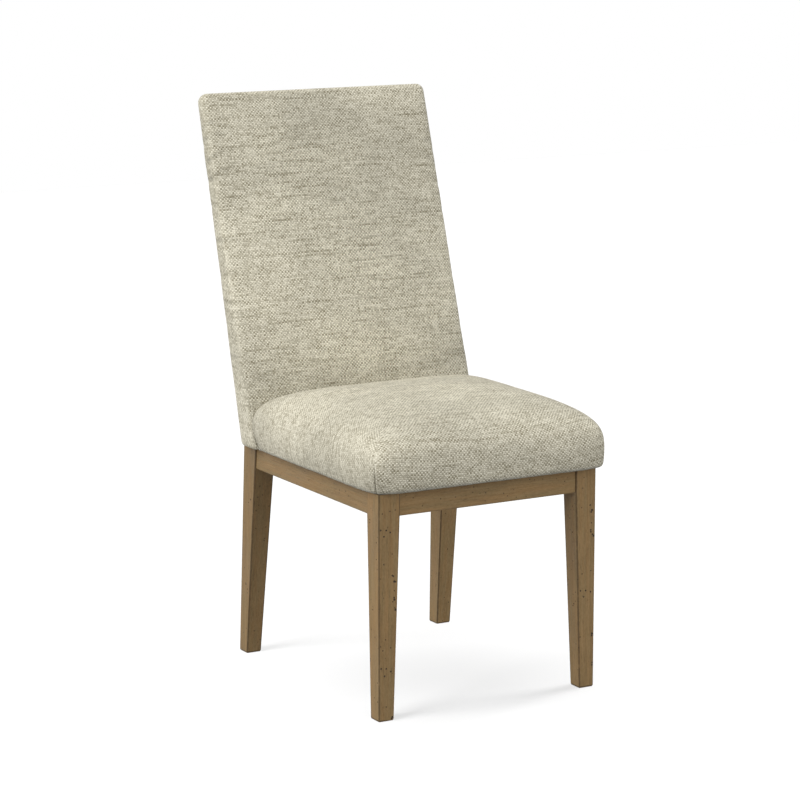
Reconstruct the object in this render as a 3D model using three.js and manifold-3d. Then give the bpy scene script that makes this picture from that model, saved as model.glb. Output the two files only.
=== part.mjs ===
// A dining side chair: an upholstered seat and back on an exposed wooden base with tapered legs.
// Millimetres, +Z up. The chair faces -Y, and +X is to the right of someone who looks at its front.
// Depths are measured from the front face of the front legs. The finished group is then moved so
// that its origin is on the floor, under the middle of the chair's outline.
import * as THREE from "three";
import { mergeVertices } from "three/addons/utils/BufferGeometryUtils.js";
import Module from "manifold-3d";

const wasm = await Module();
wasm.setup();

// Fits
const fit = 0.3; // clearance where one piece meets another
const overrun = 5; // how far a cut runs past what it cuts
const weld = 0.001; // corners closer than this are one corner

// Legs
const baseWidth = 438; // over the outer faces of the legs
const frontLegSize = 41.5; // square at the rails
const rearLegSize = 39.5; // width at the rails
const footSize = 29.5; // width of every leg at the floor
const legEase = 1.5; // chamfer on the long edges of the legs
const rearLegFront = 452; // front face of the rear legs at the rail tops
const rearLegDepth = 47.7;
const rearFootSplay = 44; // the same face at the floor, behind its place at the rail tops
const rearFootDepth = 29.7;

// Rails between the legs
const railTop = 398; // height of the rail tops and of the front legs
const railHeight = 40.5;
const railThickness = 20;
const railEase = 1.2;
const rearRailSetback = 13; // rear rail behind the front face of the rear legs
const tenonThickness = 8;
const tenonHeight = 30;
const tenonLength = 22; // of the side rails, into the rear legs
const tenonWall = 5.5; // wood left between the tenons in a leg

// Corner blocks, measured from the corner where two rails' inner faces would meet
const blockHeight = 28;
const blockDrop = 4; // block tops below the rail tops
const blockReach = 100;
const blockBlunt = 10;
const blockLegGap = 3;
const railScrewFromEnd = 34; // rail screws in from the blocks' ends, along each rail
const blockScrewSeat = 20; // wood left under a rail screw's head
const seatScrewFromEnd = 26;
const seatScrewIn = 12; // in from the side rail
const seatScrewSink = 6;

// Screws and glides
const screwDiameter = 4;
const screwHeadDiameter = 8;
const screwHeadHeight = 2.6;
const screwTip = 5;
const screwBite = 14; // depth in the second piece
const glideDiameter = 18;
const glideThickness = 1;
const glideNailDiameter = 2.4;
const glideNailLength = 13;

// Upholstered back
const backOverhang = 17.5; // its sides past the legs
const backPadding = 30; // its front face in front of the posts at the rail tops
const backThickness = 71.5; // front to rear at the rail tops
const backTopThickness = 28.5; // square to the front face at the top
const backHeight = 630; // front top edge above the rails, before it is rounded
const backRecline = 17.8; // degrees that the front face leans back
const backEdgeRadius = 12; // front edges and top edge
const backCornerRadius = 17; // the two top corners, seen from the front
const backRearEdgeRadius = 14; // upright rear edges at the top
const backRearHemRadius = 26; // the same edges at the bottom
const backHemRadius = 6;
const backCrown = 4; // how far the front face swells
const backSeamInset = 13; // outside back panel's seam in from the edges

// Back frame
const postTopDrop = 24; // post tops below the top edge, along the front face
const postTopPadding = 11; // padding and cover in front of the posts at their tops
const postRoot = 15; // how far the post is drawn down into the leg
const topRailHeight = 55;
const lowerRailHeight = 50;
const lowerRailGap = 8; // lower rail above the seat rails
const backTenonThickness = 6;
const backTenonInset = 7;

// Cloth, padding and webbing
const coverThickness = 1.8;
const waddingThickness = 2.5;
const webbingWidth = 50;
const webbingThickness = 1.2;
const webbingHold = 18; // how far a strap's end lies on the wood

// Seat cushion
const seatHemOverhang = 15; // its lower edge past the legs at the sides
const seatHemFront = 14; // the same at the front
const seatSwell = 3.6; // widest line past the lower edge
const seatCrownShift = 6; // crown behind the middle of the seat
const seatWideHeight = 41; // height above the rails of the widest line
const seatCrown = 88; // crown above that line
const seatHemRadius = 8;
const seatFlange = 25; // cover turned under the frame
const seatBackGap = 0.5;

// Shape of the cushion: higher powers are squarer
const sideShoulderPower = 2.9;
const frontShoulderPower = 2.05;
const hemPlanPower = 20;
const crownPlanPower = 2.7;
const cornerCrowding = 0.75; // how much the outline's points gather at the corners

// Seat frame
const seatFrameThickness = 18;
const seatFrameWidth = 55;
const seatFrameInset = 16; // frame inside the cushion's lower edge
const seatFrameBackGap = 4; // frame in front of the back
const seatFrameCorner = 16; // cut off its front corners
const frameTenonThickness = 8;
const frameTenonInset = 7;
const frameTenonWall = 2; // wood left between a tenon and the seat screws
const dustCoverThickness = 0.8;

// Counts
const outlinePoints = 40;
const shoulderRings = 9;
const hemArcShares = [0, 0.5, 1];
const hemSwellShares = [0.4, 0.75];
const backFaceShares = [-0.6, -0.2, 0.2, 0.6];
const backHemShares = [0, 0.5];
const backLengthShares = [0, 0.25, 0.5, 0.75, 1];
const arcSteps = 4;
const cornerSteps = 7;
const roundSides = 12;
const strapsEachWay = 3;

// Heights and depths that follow from the sizes above
const halfBase = baseWidth / 2;
const rearFootFront = rearLegFront + rearFootSplay;
const backWidth = baseWidth + 2 * backOverhang;
const backFrontDepth = rearLegFront - backPadding;
const backTopHeight = railTop + backHeight;
const seatHemWidth = baseWidth + 2 * seatHemOverhang;
const seatWidth = seatHemWidth + 2 * seatSwell;
const seatFront = seatHemFront + seatSwell;
const seatMiddle = backFrontDepth / 2 + seatCrownShift;
const seatFrameRear = backFrontDepth - seatFrameBackGap;
const railBottom = railTop - railHeight;
const railMiddle = railTop - railHeight / 2;
const legBottom = glideThickness + fit;
const recline = Math.tan(THREE.MathUtils.degToRad(backRecline));
const alongBack = new THREE.Vector2(recline, 1).normalize(); // up the front face, in depth and height
const acrossBack = new THREE.Vector2(alongBack.y, -alongBack.x); // square to it, rearwards
const frameBottom = railTop + coverThickness + 2 * fit;
const frameTop = frameBottom + seatFrameThickness;
const frameFront = seatFrameInset - seatHemFront;
const frameSide = seatHemWidth / 2 - seatFrameInset;
const webbingZone = 2 * webbingThickness + 4 * fit; // room for two crossing straps

const wood = new THREE.MeshStandardMaterial({ name: "stained_wood", color: 0x7f6a49, roughness: 0.6 });
const frameWood = new THREE.MeshStandardMaterial({ name: "frame_wood", color: 0xc9a878, roughness: 0.8 });
const cloth = new THREE.MeshStandardMaterial({ name: "tweed_cloth", color: 0xbfb9a6, roughness: 0.95 });
const foam = new THREE.MeshStandardMaterial({ name: "foam", color: 0xe8dfc0, roughness: 1 });
const wadding = new THREE.MeshStandardMaterial({ name: "wadding", color: 0xf1f0ea, roughness: 1 });
const webbing = new THREE.MeshStandardMaterial({ name: "webbing", color: 0x8b7350, roughness: 0.9 });
const cambric = new THREE.MeshStandardMaterial({ name: "cambric", color: 0x1d1d1f, roughness: 0.95 });
const steel = new THREE.MeshStandardMaterial({ name: "steel", color: 0xb9b6a8, roughness: 0.4, metalness: 1 });
const nylon = new THREE.MeshStandardMaterial({ name: "nylon", color: 0x3a332b, roughness: 0.5 });

// A closed three.js geometry as a solid that can be cut and joined.
function solidOf(geometry) {
  const bare = geometry.clone();
  bare.deleteAttribute("normal");
  bare.deleteAttribute("uv");
  const merged = mergeVertices(bare, weld);
  const vertProperties = merged.getAttribute("position").array;
  const triVerts = new Uint32Array(merged.index.array);
  return new wasm.Manifold(new wasm.Mesh({ numProp: 3, vertProperties, triVerts }));
}

// The same solid as a three.js geometry again, with flat faces.
function geometryOf(solid) {
  const { vertProperties, triVerts } = solid.getMesh();
  const indexed = new THREE.BufferGeometry();
  indexed.setAttribute("position", new THREE.BufferAttribute(vertProperties, 3));
  indexed.setIndex(new THREE.BufferAttribute(triVerts, 1));
  const geometry = indexed.toNonIndexed();
  geometry.computeVertexNormals();
  return geometry;
}

// One named piece of the chair.
function piece(name, material, solid) {
  const mesh = new THREE.Mesh(geometryOf(solid), material);
  mesh.name = name;
  return mesh;
}

function cut(solid, tools) {
  return tools.reduce((rest, tool) => rest.subtract(tool), solid);
}

function join(solids) {
  return solids.reduce((whole, solid) => whole.add(solid));
}

// A straight line in side view: its depth at any height.
function sideLine(lowDepth, lowHeight, highDepth, highHeight) {
  return (height) => THREE.MathUtils.mapLinear(height, lowHeight, highHeight, lowDepth, highDepth);
}

// A rectangular block between two corners.
function block([x0, x1], [y0, y1], [z0, z1]) {
  const box = new THREE.BoxGeometry(x1 - x0, y1 - y0, z1 - z0);
  box.translate((x0 + x1) / 2, (y0 + y1) / 2, (z0 + z1) / 2);
  return solidOf(box);
}

// An outline pushed along an axis. Outlines are [y, z] pairs along x, [z, x] along y, [x, y] along z.
const xAxis = new THREE.Vector3(1, 0, 0);
const yAxis = new THREE.Vector3(0, 1, 0);
const zAxis = new THREE.Vector3(0, 0, 1);
const frames = {
  x: new THREE.Matrix4().makeBasis(yAxis, zAxis, xAxis),
  y: new THREE.Matrix4().makeBasis(zAxis, xAxis, yAxis),
  z: new THREE.Matrix4().makeBasis(xAxis, yAxis, zAxis),
};

function prism(outline, axis, [from, to]) {
  const shape = new THREE.Shape(outline.map(([u, v]) => new THREE.Vector2(u, v)));
  const solid = new THREE.ExtrudeGeometry(shape, { depth: to - from, bevelEnabled: false });
  solid.translate(0, 0, from);
  solid.applyMatrix4(frames[axis]);
  return solidOf(solid);
}

// A rectangle with its four corners cut off, as an outline that runs anticlockwise.
function easedRectangle([u0, u1], [v0, v1], ease) {
  return [
    [u0 + ease, v0],
    [u1 - ease, v0],
    [u1, v0 + ease],
    [u1, v1 - ease],
    [u1 - ease, v1],
    [u0 + ease, v1],
    [u0, v1 - ease],
    [u0, v0 + ease],
  ];
}

// A closed skin over rings of equal count that run anticlockwise seen from above, lowest ring first.
// The two ends are closed by fans from their own middle points.
function loft(rings, lowMiddle, highMiddle) {
  const count = rings[0].length;
  const corners = [...rings.flat(), lowMiddle, highMiddle];
  const low = rings.length * count;
  const high = low + 1;
  const last = low - count;
  const faces = [];
  for (let j = 0; j < count; j += 1) {
    const next = (j + 1) % count;
    for (let start = 0; start < last; start += count) {
      faces.push(start + j, start + next, start + count + next);
      faces.push(start + j, start + count + next, start + count + j);
    }
    faces.push(low, next, j, high, last + j, last + next);
  }
  const skin = new THREE.BufferGeometry().setFromPoints(corners);
  skin.setIndex(faces);
  return solidOf(skin);
}

// A ring at one height, from an outline of [x, y] pairs.
function levelRing(outline, height) {
  return outline.map(([x, y]) => new THREE.Vector3(x, y, height));
}

function middleOf(ring) {
  const sum = ring.reduce((total, point) => total.add(point), new THREE.Vector3());
  return sum.divideScalar(ring.length);
}

function loftBetween(rings) {
  return loft(rings, middleOf(rings[0]), middleOf(rings[rings.length - 1]));
}

// A round cutter that starts at a point and runs along a direction.
function bore(start, direction, diameter, length) {
  const drill = new THREE.CylinderGeometry(diameter / 2, diameter / 2, length, roundSides);
  drill.translate(0, length / 2, 0);
  drill.applyQuaternion(new THREE.Quaternion().setFromUnitVectors(yAxis, direction));
  drill.translate(start.x, start.y, start.z);
  return solidOf(drill);
}

// A turned piece about the z axis, from [radius, height] pairs that start and end on the axis.
function turned(profile) {
  const lathe = new THREE.LatheGeometry(profile.map(([r, h]) => new THREE.Vector2(r, h)), roundSides);
  lathe.rotateX(Math.PI / 2);
  return solidOf(lathe);
}

// Leg sections. Only the inner faces taper, and only below the rails.
function legWidth(size, height) {
  return THREE.MathUtils.lerp(footSize, size, Math.min(height / railBottom, 1));
}

const rearLegFrontAt = sideLine(rearFootFront, 0, rearLegFront, railTop);
const rearLegRearAt = sideLine(rearFootFront + rearFootDepth, 0, rearLegFront + rearLegDepth, railTop);

function legRing(size, height, [front, rear], shrink) {
  const across = [halfBase - legWidth(size, height) + shrink, halfBase - shrink];
  return levelRing(easedRectangle(across, [front + shrink, rear - shrink], legEase), height);
}

const footLevels = [
  [legBottom, legEase / 2],
  [legBottom + legEase, 0],
  [railBottom, 0],
  [railTop, 0],
];

// Tenons of the seat rails, on the right side of the chair; grow is 0 for the tenon itself.
const frontLegInner = halfBase - frontLegSize;
const rearLegInner = halfBase - rearLegSize;
const railInner = halfBase - railThickness;
const rearRailFront = rearLegFrontAt(railMiddle) + rearRailSetback;

const tenonMiddle = railThickness / 2; // behind the outer face of a rail
const crossTenonEnd = halfBase - tenonMiddle - tenonThickness / 2 - tenonWall;

function crossTenon(railFront, legInner, grow) {
  const middle = railFront + tenonMiddle;
  const half = tenonThickness / 2 + grow;
  return block(
    [legInner - overrun, crossTenonEnd + grow],
    [middle - half, middle + half],
    [railMiddle - tenonHeight / 2 - grow, railMiddle + tenonHeight / 2 + grow],
  );
}

function sideTenon([from, to], grow) {
  const middle = halfBase - tenonMiddle;
  const half = tenonThickness / 2 + grow;
  return block(
    [middle - half, middle + half],
    [from - grow, to + grow],
    [railMiddle - tenonHeight / 2 - grow, railMiddle + tenonHeight / 2 + grow],
  );
}

const sideTenonSpan = [tenonMiddle + tenonThickness / 2 + tenonWall, rearLegFront + tenonLength];

// A glide: a flat round foot with a nail up into the leg.
function glide() {
  const half = glideDiameter / 2;
  const nail = glideNailDiameter / 2;
  const lip = glideThickness / 2;
  return turned([
    [0, 0],
    [half - lip, 0],
    [half, lip],
    [half, glideThickness],
    [nail, glideThickness],
    [nail, glideThickness + glideNailLength - glideNailDiameter],
    [0, glideThickness + glideNailLength],
  ]);
}

function glideSpots() {
  const across = halfBase - footSize / 2;
  return [
    new THREE.Vector3(across, footSize / 2, 0),
    new THREE.Vector3(across, rearFootFront + rearFootDepth / 2, 0),
  ];
}

function glideHole(spot) {
  return bore(spot, zAxis, glideNailDiameter + 2 * fit, glideThickness + glideNailLength + fit);
}

function frontLeg() {
  const rings = footLevels.map(([height, shrink]) =>
    legRing(frontLegSize, height, [0, legWidth(frontLegSize, height)], shrink),
  );
  return cut(loftBetween(rings), [
    crossTenon(0, frontLegInner, fit),
    sideTenon(sideTenonSpan, fit),
    glideHole(glideSpots()[0]),
  ]);
}

// The back's side view: front and rear faces, and the lines of the posts inside it.
const backFrontAt = (height) => backFrontDepth + recline * (height - railTop);
const frontTopEdge = new THREE.Vector2(backFrontAt(backTopHeight), backTopHeight);
const rearTopEdge = frontTopEdge.clone().addScaledVector(acrossBack, backTopThickness);
const backRearAt = sideLine(backFrontDepth + backThickness, railTop, rearTopEdge.x, rearTopEdge.y);
const postTop = backTopHeight - postTopDrop * alongBack.y;
const rearPadding = coverThickness + waddingThickness + 3 * fit;
const postFrontAt = sideLine(rearLegFront, railTop, backFrontAt(postTop) + postTopPadding, postTop);
const postRearAt = (height) => backRearAt(height) - rearPadding;

// A band in side view between two leaning lines and two heights, pushed across the chair.
function sideBand(frontAt, rearAt, [low, high], across) {
  return prism(
    [
      [frontAt(low), low],
      [rearAt(low), low],
      [rearAt(high), high],
      [frontAt(high), high],
    ],
    "x",
    across,
  );
}

// The rails of the back frame are flush with the front of the posts, and the top one with their rear.
const topRailSpan = [postTop - topRailHeight - postTopDrop, postTop - postTopDrop];
const lowerRailSpan = [railTop + lowerRailGap, railTop + lowerRailGap + lowerRailHeight];
const backRailDepth = postRearAt(topRailSpan[1]) - postFrontAt(topRailSpan[1]);
const backRailRearAt = (height) => postFrontAt(height) + backRailDepth;

function backTenon([low, high], across, grow) {
  const shoulder = (backRailDepth - backTenonThickness) / 2;
  return sideBand(
    (height) => postFrontAt(height) + shoulder - grow,
    (height) => backRailRearAt(height) - shoulder + grow,
    [low + backTenonInset - grow, high - backTenonInset + grow],
    across,
  );
}

function backRail(span) {
  const inner = rearLegInner - fit;
  const body = sideBand(postFrontAt, backRailRearAt, span, [-inner, inner]);
  const reach = rearLegInner + tenonLength;
  return join([body, backTenon(span, [-reach, reach], 0)]);
}

// A rear leg and the post inside the back are one continuous piece of wood.
function rearLeg() {
  const leg = loftBetween(
    footLevels.map(([height, shrink]) =>
      legRing(rearLegSize, height, [rearLegFrontAt(height), rearLegRearAt(height)], shrink),
    ),
  );
  const rootHeight = railTop - postRoot;
  const rootSection = [rearLegFrontAt(rootHeight) + legEase, postRearAt(railTop) - legEase];
  const post = loftBetween([
    legRing(rearLegSize, rootHeight, rootSection, 0),
    ...[railTop, postTop].map((height) =>
      legRing(rearLegSize, height, [postFrontAt(height), postRearAt(height)], 0),
    ),
  ]);
  const mortise = [rearLegInner - overrun, rearLegInner + tenonLength + fit];
  return cut(join([leg, post]), [
    crossTenon(rearRailFront, rearLegInner, fit),
    sideTenon(sideTenonSpan, fit),
    backTenon(topRailSpan, mortise, fit),
    backTenon(lowerRailSpan, mortise, fit),
    glideHole(glideSpots()[1]),
  ]);
}

// The four inside corners of the base: where the inner rail faces would meet, and which way is inwards.
const corners = {
  front: {
    meet: new THREE.Vector2(railInner, railThickness),
    inwards: 1,
    legInner: frontLegInner,
    near: 2 * (frontLegSize - railThickness),
  },
  rear: {
    meet: new THREE.Vector2(railInner, rearRailFront),
    inwards: -1,
    legInner: rearLegInner,
    near: rearLegSize - railThickness + rearRailSetback,
  },
};
const blockTop = railTop - blockDrop;
const blockMiddle = blockTop - blockHeight / 2;
const seatScrewHead = blockTop - blockHeight + seatScrewSink;

// A point of a corner, by its distances in from the side rail and along it.
function cornerPoint(corner, inFromSide, along, height) {
  const { meet, inwards } = corners[corner];
  return new THREE.Vector3(meet.x - inFromSide, meet.y + inwards * along, height);
}

// Each block has a screw into the side rail, one into the front or rear rail, and one up into the seat.
function blockScrews(corner) {
  const { inwards } = corners[corner];
  const railScrewAlong = blockReach - railScrewFromEnd;
  return {
    side_rail: {
      head: cornerPoint(corner, blockScrewSeat, railScrewAlong, blockMiddle),
      direction: xAxis,
      length: blockScrewSeat + screwBite,
    },
    cross_rail: {
      head: cornerPoint(corner, railScrewAlong, blockScrewSeat, blockMiddle),
      direction: yAxis.clone().multiplyScalar(-inwards),
      length: blockScrewSeat + screwBite,
    },
    seat: {
      head: cornerPoint(corner, seatScrewIn, blockReach - seatScrewFromEnd, seatScrewHead),
      direction: zAxis,
      length: frameBottom + screwBite - seatScrewHead,
    },
  };
}

function screwHole({ head, direction, length }) {
  return bore(head, direction, screwDiameter + 2 * fit, length + fit);
}

// The wide hole that lets a screw's head sink into a block.
function headPocket({ head, direction }) {
  const outwards = direction.clone().negate();
  return bore(head, outwards, screwHeadDiameter + 4 * fit, blockReach);
}

function cornerBlock(corner) {
  const near = corners[corner].near + blockLegGap;
  const far = blockReach;
  const outline = [
    [near, fit],
    [far - blockBlunt, fit],
    [far - blockBlunt, blockBlunt],
    [blockBlunt, far - blockBlunt],
    [fit, far - blockBlunt],
    [fit, near],
  ].map(([inFromSide, along]) => {
    const point = cornerPoint(corner, inFromSide, along, 0);
    return [point.x, point.y];
  });
  const screws = Object.values(blockScrews(corner));
  return cut(prism(outline, "z", [blockTop - blockHeight, blockTop]), [
    ...screws.map(screwHole),
    ...screws.map(headPocket),
  ]);
}

// A pan-head wood screw that points up, with the underside of its head at the origin.
function screw(length) {
  const head = screwHeadDiameter / 2;
  const shank = screwDiameter / 2;
  return turned([
    [0, -screwHeadHeight],
    [head / 2, -screwHeadHeight],
    [head, -screwHeadHeight / 2],
    [head, -fit],
    [shank, -fit],
    [shank, length - screwTip],
    [0, length],
  ]);
}

function placedScrew(name, { head, direction, length }) {
  const mesh = piece(name, steel, screw(length));
  mesh.position.copy(head);
  mesh.quaternion.setFromUnitVectors(zAxis, direction);
  return mesh;
}

// Seat rails. The long edges are eased, so a fine groove shows where a rail meets a leg.
function crossRail(railFront, corner) {
  const { legInner } = corners[corner];
  const inner = legInner - fit;
  const bar = prism(
    easedRectangle([railFront, railFront + railThickness], [railBottom, railTop], railEase),
    "x",
    [-inner, inner],
  );
  const tenon = crossTenon(railFront, legInner, 0);
  const holes = screwHole(blockScrews(corner).cross_rail);
  return cut(join([bar, tenon, tenon.mirror([1, 0, 0])]), [holes, holes.mirror([1, 0, 0])]);
}

function sideRail() {
  const bar = prism(
    easedRectangle([railBottom, railTop], [railInner, halfBase], railEase),
    "y",
    [frontLegSize + fit, rearLegFront + rearLegDepth],
  );
  const beyondLeg = sideBand(
    (height) => rearLegFrontAt(height) - fit,
    (height) => rearLegFrontAt(height) + 2 * rearLegDepth,
    [railBottom - overrun, railTop + overrun],
    [railInner - overrun, halfBase + overrun],
  );
  const holes = Object.keys(corners).map((corner) => screwHole(blockScrews(corner).side_rail));
  return cut(join([cut(bar, [beyondLeg]), sideTenon(sideTenonSpan, 0)]), holes);
}

// The cushion's outline at one level: from a rounded rectangle at the hem to an oval at the crown.
function cushionRing(halfWidth, halfDepth, power, height) {
  const ring = [];
  for (let j = 0; j < outlinePoints; j += 1) {
    const turn = (4 * j) / outlinePoints;
    const quarter = turn - Math.floor(turn);
    const crowded = quarter + (cornerCrowding * Math.sin(2 * Math.PI * quarter)) / (2 * Math.PI);
    const angle = (Math.PI / 2) * (Math.floor(turn) + crowded);
    const c = Math.cos(angle);
    const s = Math.sin(angle);
    const radius = (Math.abs(c) ** power + Math.abs(s) ** power) ** (-1 / power);
    ring.push(new THREE.Vector3(halfWidth * c * radius, seatMiddle + halfDepth * s * radius, height));
  }
  return ring;
}

// The whole cushion drawn in by inset on every side, before its rear is cut to the back.
function cushionForm(inset) {
  const low = railTop + fit + inset;
  const wideHeight = railTop + seatWideHeight;
  const hem = [seatHemWidth / 2 - inset, seatMiddle + seatHemFront - inset];
  const wide = [seatWidth / 2 - inset, seatMiddle + seatFront - inset];
  const hemRadius = Math.max(seatHemRadius - inset, fit);
  const rings = [];
  for (const share of hemArcShares) {
    const angle = (share * Math.PI) / 2;
    const [width, depth] = hem.map((size) => size - hemRadius * (1 - Math.sin(angle)));
    rings.push(cushionRing(width, depth, hemPlanPower, low + hemRadius * (1 - Math.cos(angle))));
  }
  for (const share of hemSwellShares) {
    const swell = 1 - (1 - share) ** 2;
    const [width, depth] = hem.map((size, i) => THREE.MathUtils.lerp(size, wide[i], swell));
    const height = THREE.MathUtils.lerp(low + hemRadius, wideHeight, share);
    rings.push(cushionRing(width, depth, hemPlanPower, height));
  }
  const rise = seatCrown - inset;
  for (let k = 0; k < shoulderRings; k += 1) {
    const angle = (Math.PI / 2) * (k / shoulderRings);
    const width = wide[0] * Math.cos(angle) ** (2 / sideShoulderPower);
    const depth = wide[1] * Math.cos(angle) ** (2 / frontShoulderPower);
    const power = THREE.MathUtils.lerp(hemPlanPower, crownPlanPower, Math.sin(angle));
    rings.push(
      cushionRing(width, depth, power, wideHeight + rise * Math.sin(angle) ** (2 / sideShoulderPower)),
    );
  }
  return loft(
    rings,
    new THREE.Vector3(0, seatMiddle, low),
    new THREE.Vector3(0, seatMiddle, wideHeight + rise),
  );
}

// The same with its rear cut along the leaning front of the back.
function cushion(inset) {
  const limitAt = (height) => backFrontAt(height) - seatBackGap - inset / alongBack.y;
  const behind = sideBand(
    limitAt,
    (height) => limitAt(height) + seatWidth,
    [railTop - overrun, railTop + seatWideHeight + seatCrown + overrun],
    [-seatWidth, seatWidth],
  );
  return cut(cushionForm(inset), [behind, backForm(-seatBackGap - inset)]);
}

const seatRearHem = backFrontDepth - seatBackGap;

function underside(inset, heights) {
  return block(
    [-seatHemWidth / 2 + inset, seatHemWidth / 2 - inset],
    [-seatHemFront + inset, seatRearHem - inset],
    heights,
  );
}

function seatCover() {
  const window = underside(seatFlange, [railTop - overrun, frameBottom + fit]);
  return cut(cushion(0), [cushion(coverThickness), window]);
}

// The right half of the seat frame's outline from above, grown by a clearance, from one line inwards.
function frameOutline(inner, grow) {
  const side = frameSide + grow;
  const front = frameFront - grow;
  const rear = seatFrameRear + grow;
  return [
    [inner, front],
    [side - seatFrameCorner, front],
    [side, front + seatFrameCorner],
    [side, rear],
    [inner, rear],
  ];
}

function seatFoam() {
  const half = prism(frameOutline(-overrun, fit), "z", [railTop - overrun, frameTop + webbingZone]);
  return cut(cushion(coverThickness + fit), [half, half.mirror([1, 0, 0])]);
}

function dustCover() {
  const top = frameBottom - fit;
  const holes = Object.keys(corners).flatMap((corner) => {
    const hole = screwHole(blockScrews(corner).seat);
    return [hole, hole.mirror([1, 0, 0])];
  });
  return cut(underside(seatFlange + fit, [top - dustCoverThickness, top]), holes);
}

// The seat frame: two long side pieces, and a front and a rear piece tenoned between them.
const frameInner = frameSide - seatFrameWidth;
const frameMiddle = frameBottom + seatFrameThickness / 2;
const frameTenonEnd = railInner - seatScrewIn - screwDiameter / 2 - fit - frameTenonWall;
const frameCrossSpans = {
  front: [frameFront, frameFront + seatFrameWidth],
  rear: [seatFrameRear - seatFrameWidth, seatFrameRear],
};

function frameTenon([front, rear], across, grow) {
  const half = frameTenonThickness / 2 + grow;
  return block(
    across,
    [front + frameTenonInset - grow, rear - frameTenonInset + grow],
    [frameMiddle - half, frameMiddle + half],
  );
}

function frameSidePiece() {
  const bar = prism(frameOutline(frameInner, 0), "z", [frameBottom, frameTop]);
  const mortise = [frameInner - overrun, frameTenonEnd + fit];
  return cut(bar, [
    ...Object.values(frameCrossSpans).map((span) => frameTenon(span, mortise, fit)),
    ...Object.keys(corners).map((corner) => screwHole(blockScrews(corner).seat)),
  ]);
}

function frameCrossPiece(span) {
  const inner = frameInner - fit;
  return join([
    block([-inner, inner], span, [frameBottom, frameTop]),
    frameTenon(span, [-frameTenonEnd, frameTenonEnd], 0),
  ]);
}

// The side outline of a strap that passes over and under the ones it crosses, as [along, rise] pairs
// from one end to the other.
function strap(ends, crossings, overFirst) {
  const sway = (webbingThickness + fit) / 2;
  const middle = [[ends[0], 0]];
  crossings.forEach((place, k) => {
    const rise = (k % 2 === 0) === overFirst ? sway : -sway;
    middle.push([place - webbingWidth / 2 - fit, rise], [place + webbingWidth / 2 + fit, rise]);
  });
  middle.push([ends[1], 0]);
  const half = webbingThickness / 2;
  const upper = middle.map(([along, rise]) => [along, rise + half]);
  const lower = middle.map(([along, rise]) => [along, rise - half]);
  return [...lower, ...upper.reverse()];
}

// Strap places spread evenly over an opening.
function spread(from, to) {
  return Array.from({ length: strapsEachWay }, (_, k) =>
    THREE.MathUtils.lerp(from, to, (k + 1) / (strapsEachWay + 1)),
  );
}

const webbingLift = webbingThickness / 2 + fit;

function seatWebbing() {
  const level = frameTop + webbingLift;
  const acrossPlaces = spread(-frameInner, frameInner);
  const depthPlaces = spread(frameCrossSpans.front[1], frameCrossSpans.rear[0]);
  const depthEnds = [
    frameCrossSpans.front[1] - webbingHold,
    frameCrossSpans.rear[0] + webbingHold,
  ];
  const acrossEnd = frameInner + webbingHold;
  const half = webbingWidth / 2;
  const lengthwise = acrossPlaces.map((place, k) => {
    const outline = strap(depthEnds, depthPlaces, k % 2 === 0);
    return piece(
      `seat_webbing_lengthwise_${k + 1}`,
      webbing,
      prism(outline.map(([y, rise]) => [y, level + rise]), "x", [place - half, place + half]),
    );
  });
  const crosswise = depthPlaces.map((place, k) => {
    const outline = strap([-acrossEnd, acrossEnd], acrossPlaces, k % 2 !== 0);
    return piece(
      `seat_webbing_crosswise_${k + 1}`,
      webbing,
      prism(outline.map(([x, rise]) => [level + rise, x]), "y", [place - half, place + half]),
    );
  });
  return [...lengthwise, ...crosswise];
}

// The back's outline on one sloping level, as [across, rearwards] pairs from the front face.
function backOutline(halfWidth, depth, frontRadius, rearRadius, swell) {
  const outline = [];
  const arc = (x, y, radius, quarter) => {
    for (let k = 0; k <= arcSteps; k += 1) {
      const angle = (Math.PI / 2) * (quarter + k / arcSteps);
      outline.push([x + radius * Math.cos(angle), y + radius * Math.sin(angle)]);
    }
  };
  const flat = halfWidth - frontRadius;
  for (const share of backFaceShares) {
    outline.push([flat * share, -swell * (1 - share * share)]);
  }
  arc(flat, frontRadius, frontRadius, 3);
  arc(halfWidth - rearRadius, depth - rearRadius, rearRadius, 0);
  arc(rearRadius - halfWidth, depth - rearRadius, rearRadius, 1);
  arc(-flat, frontRadius, frontRadius, 2);
  return outline;
}

// How far a rounded end draws a face in, at a distance from that end.
function roundOff(radius, fromEnd) {
  const within = Math.max(radius - fromEnd, 0);
  return radius - Math.sqrt(Math.max(radius ** 2 - within ** 2, 0));
}

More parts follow.
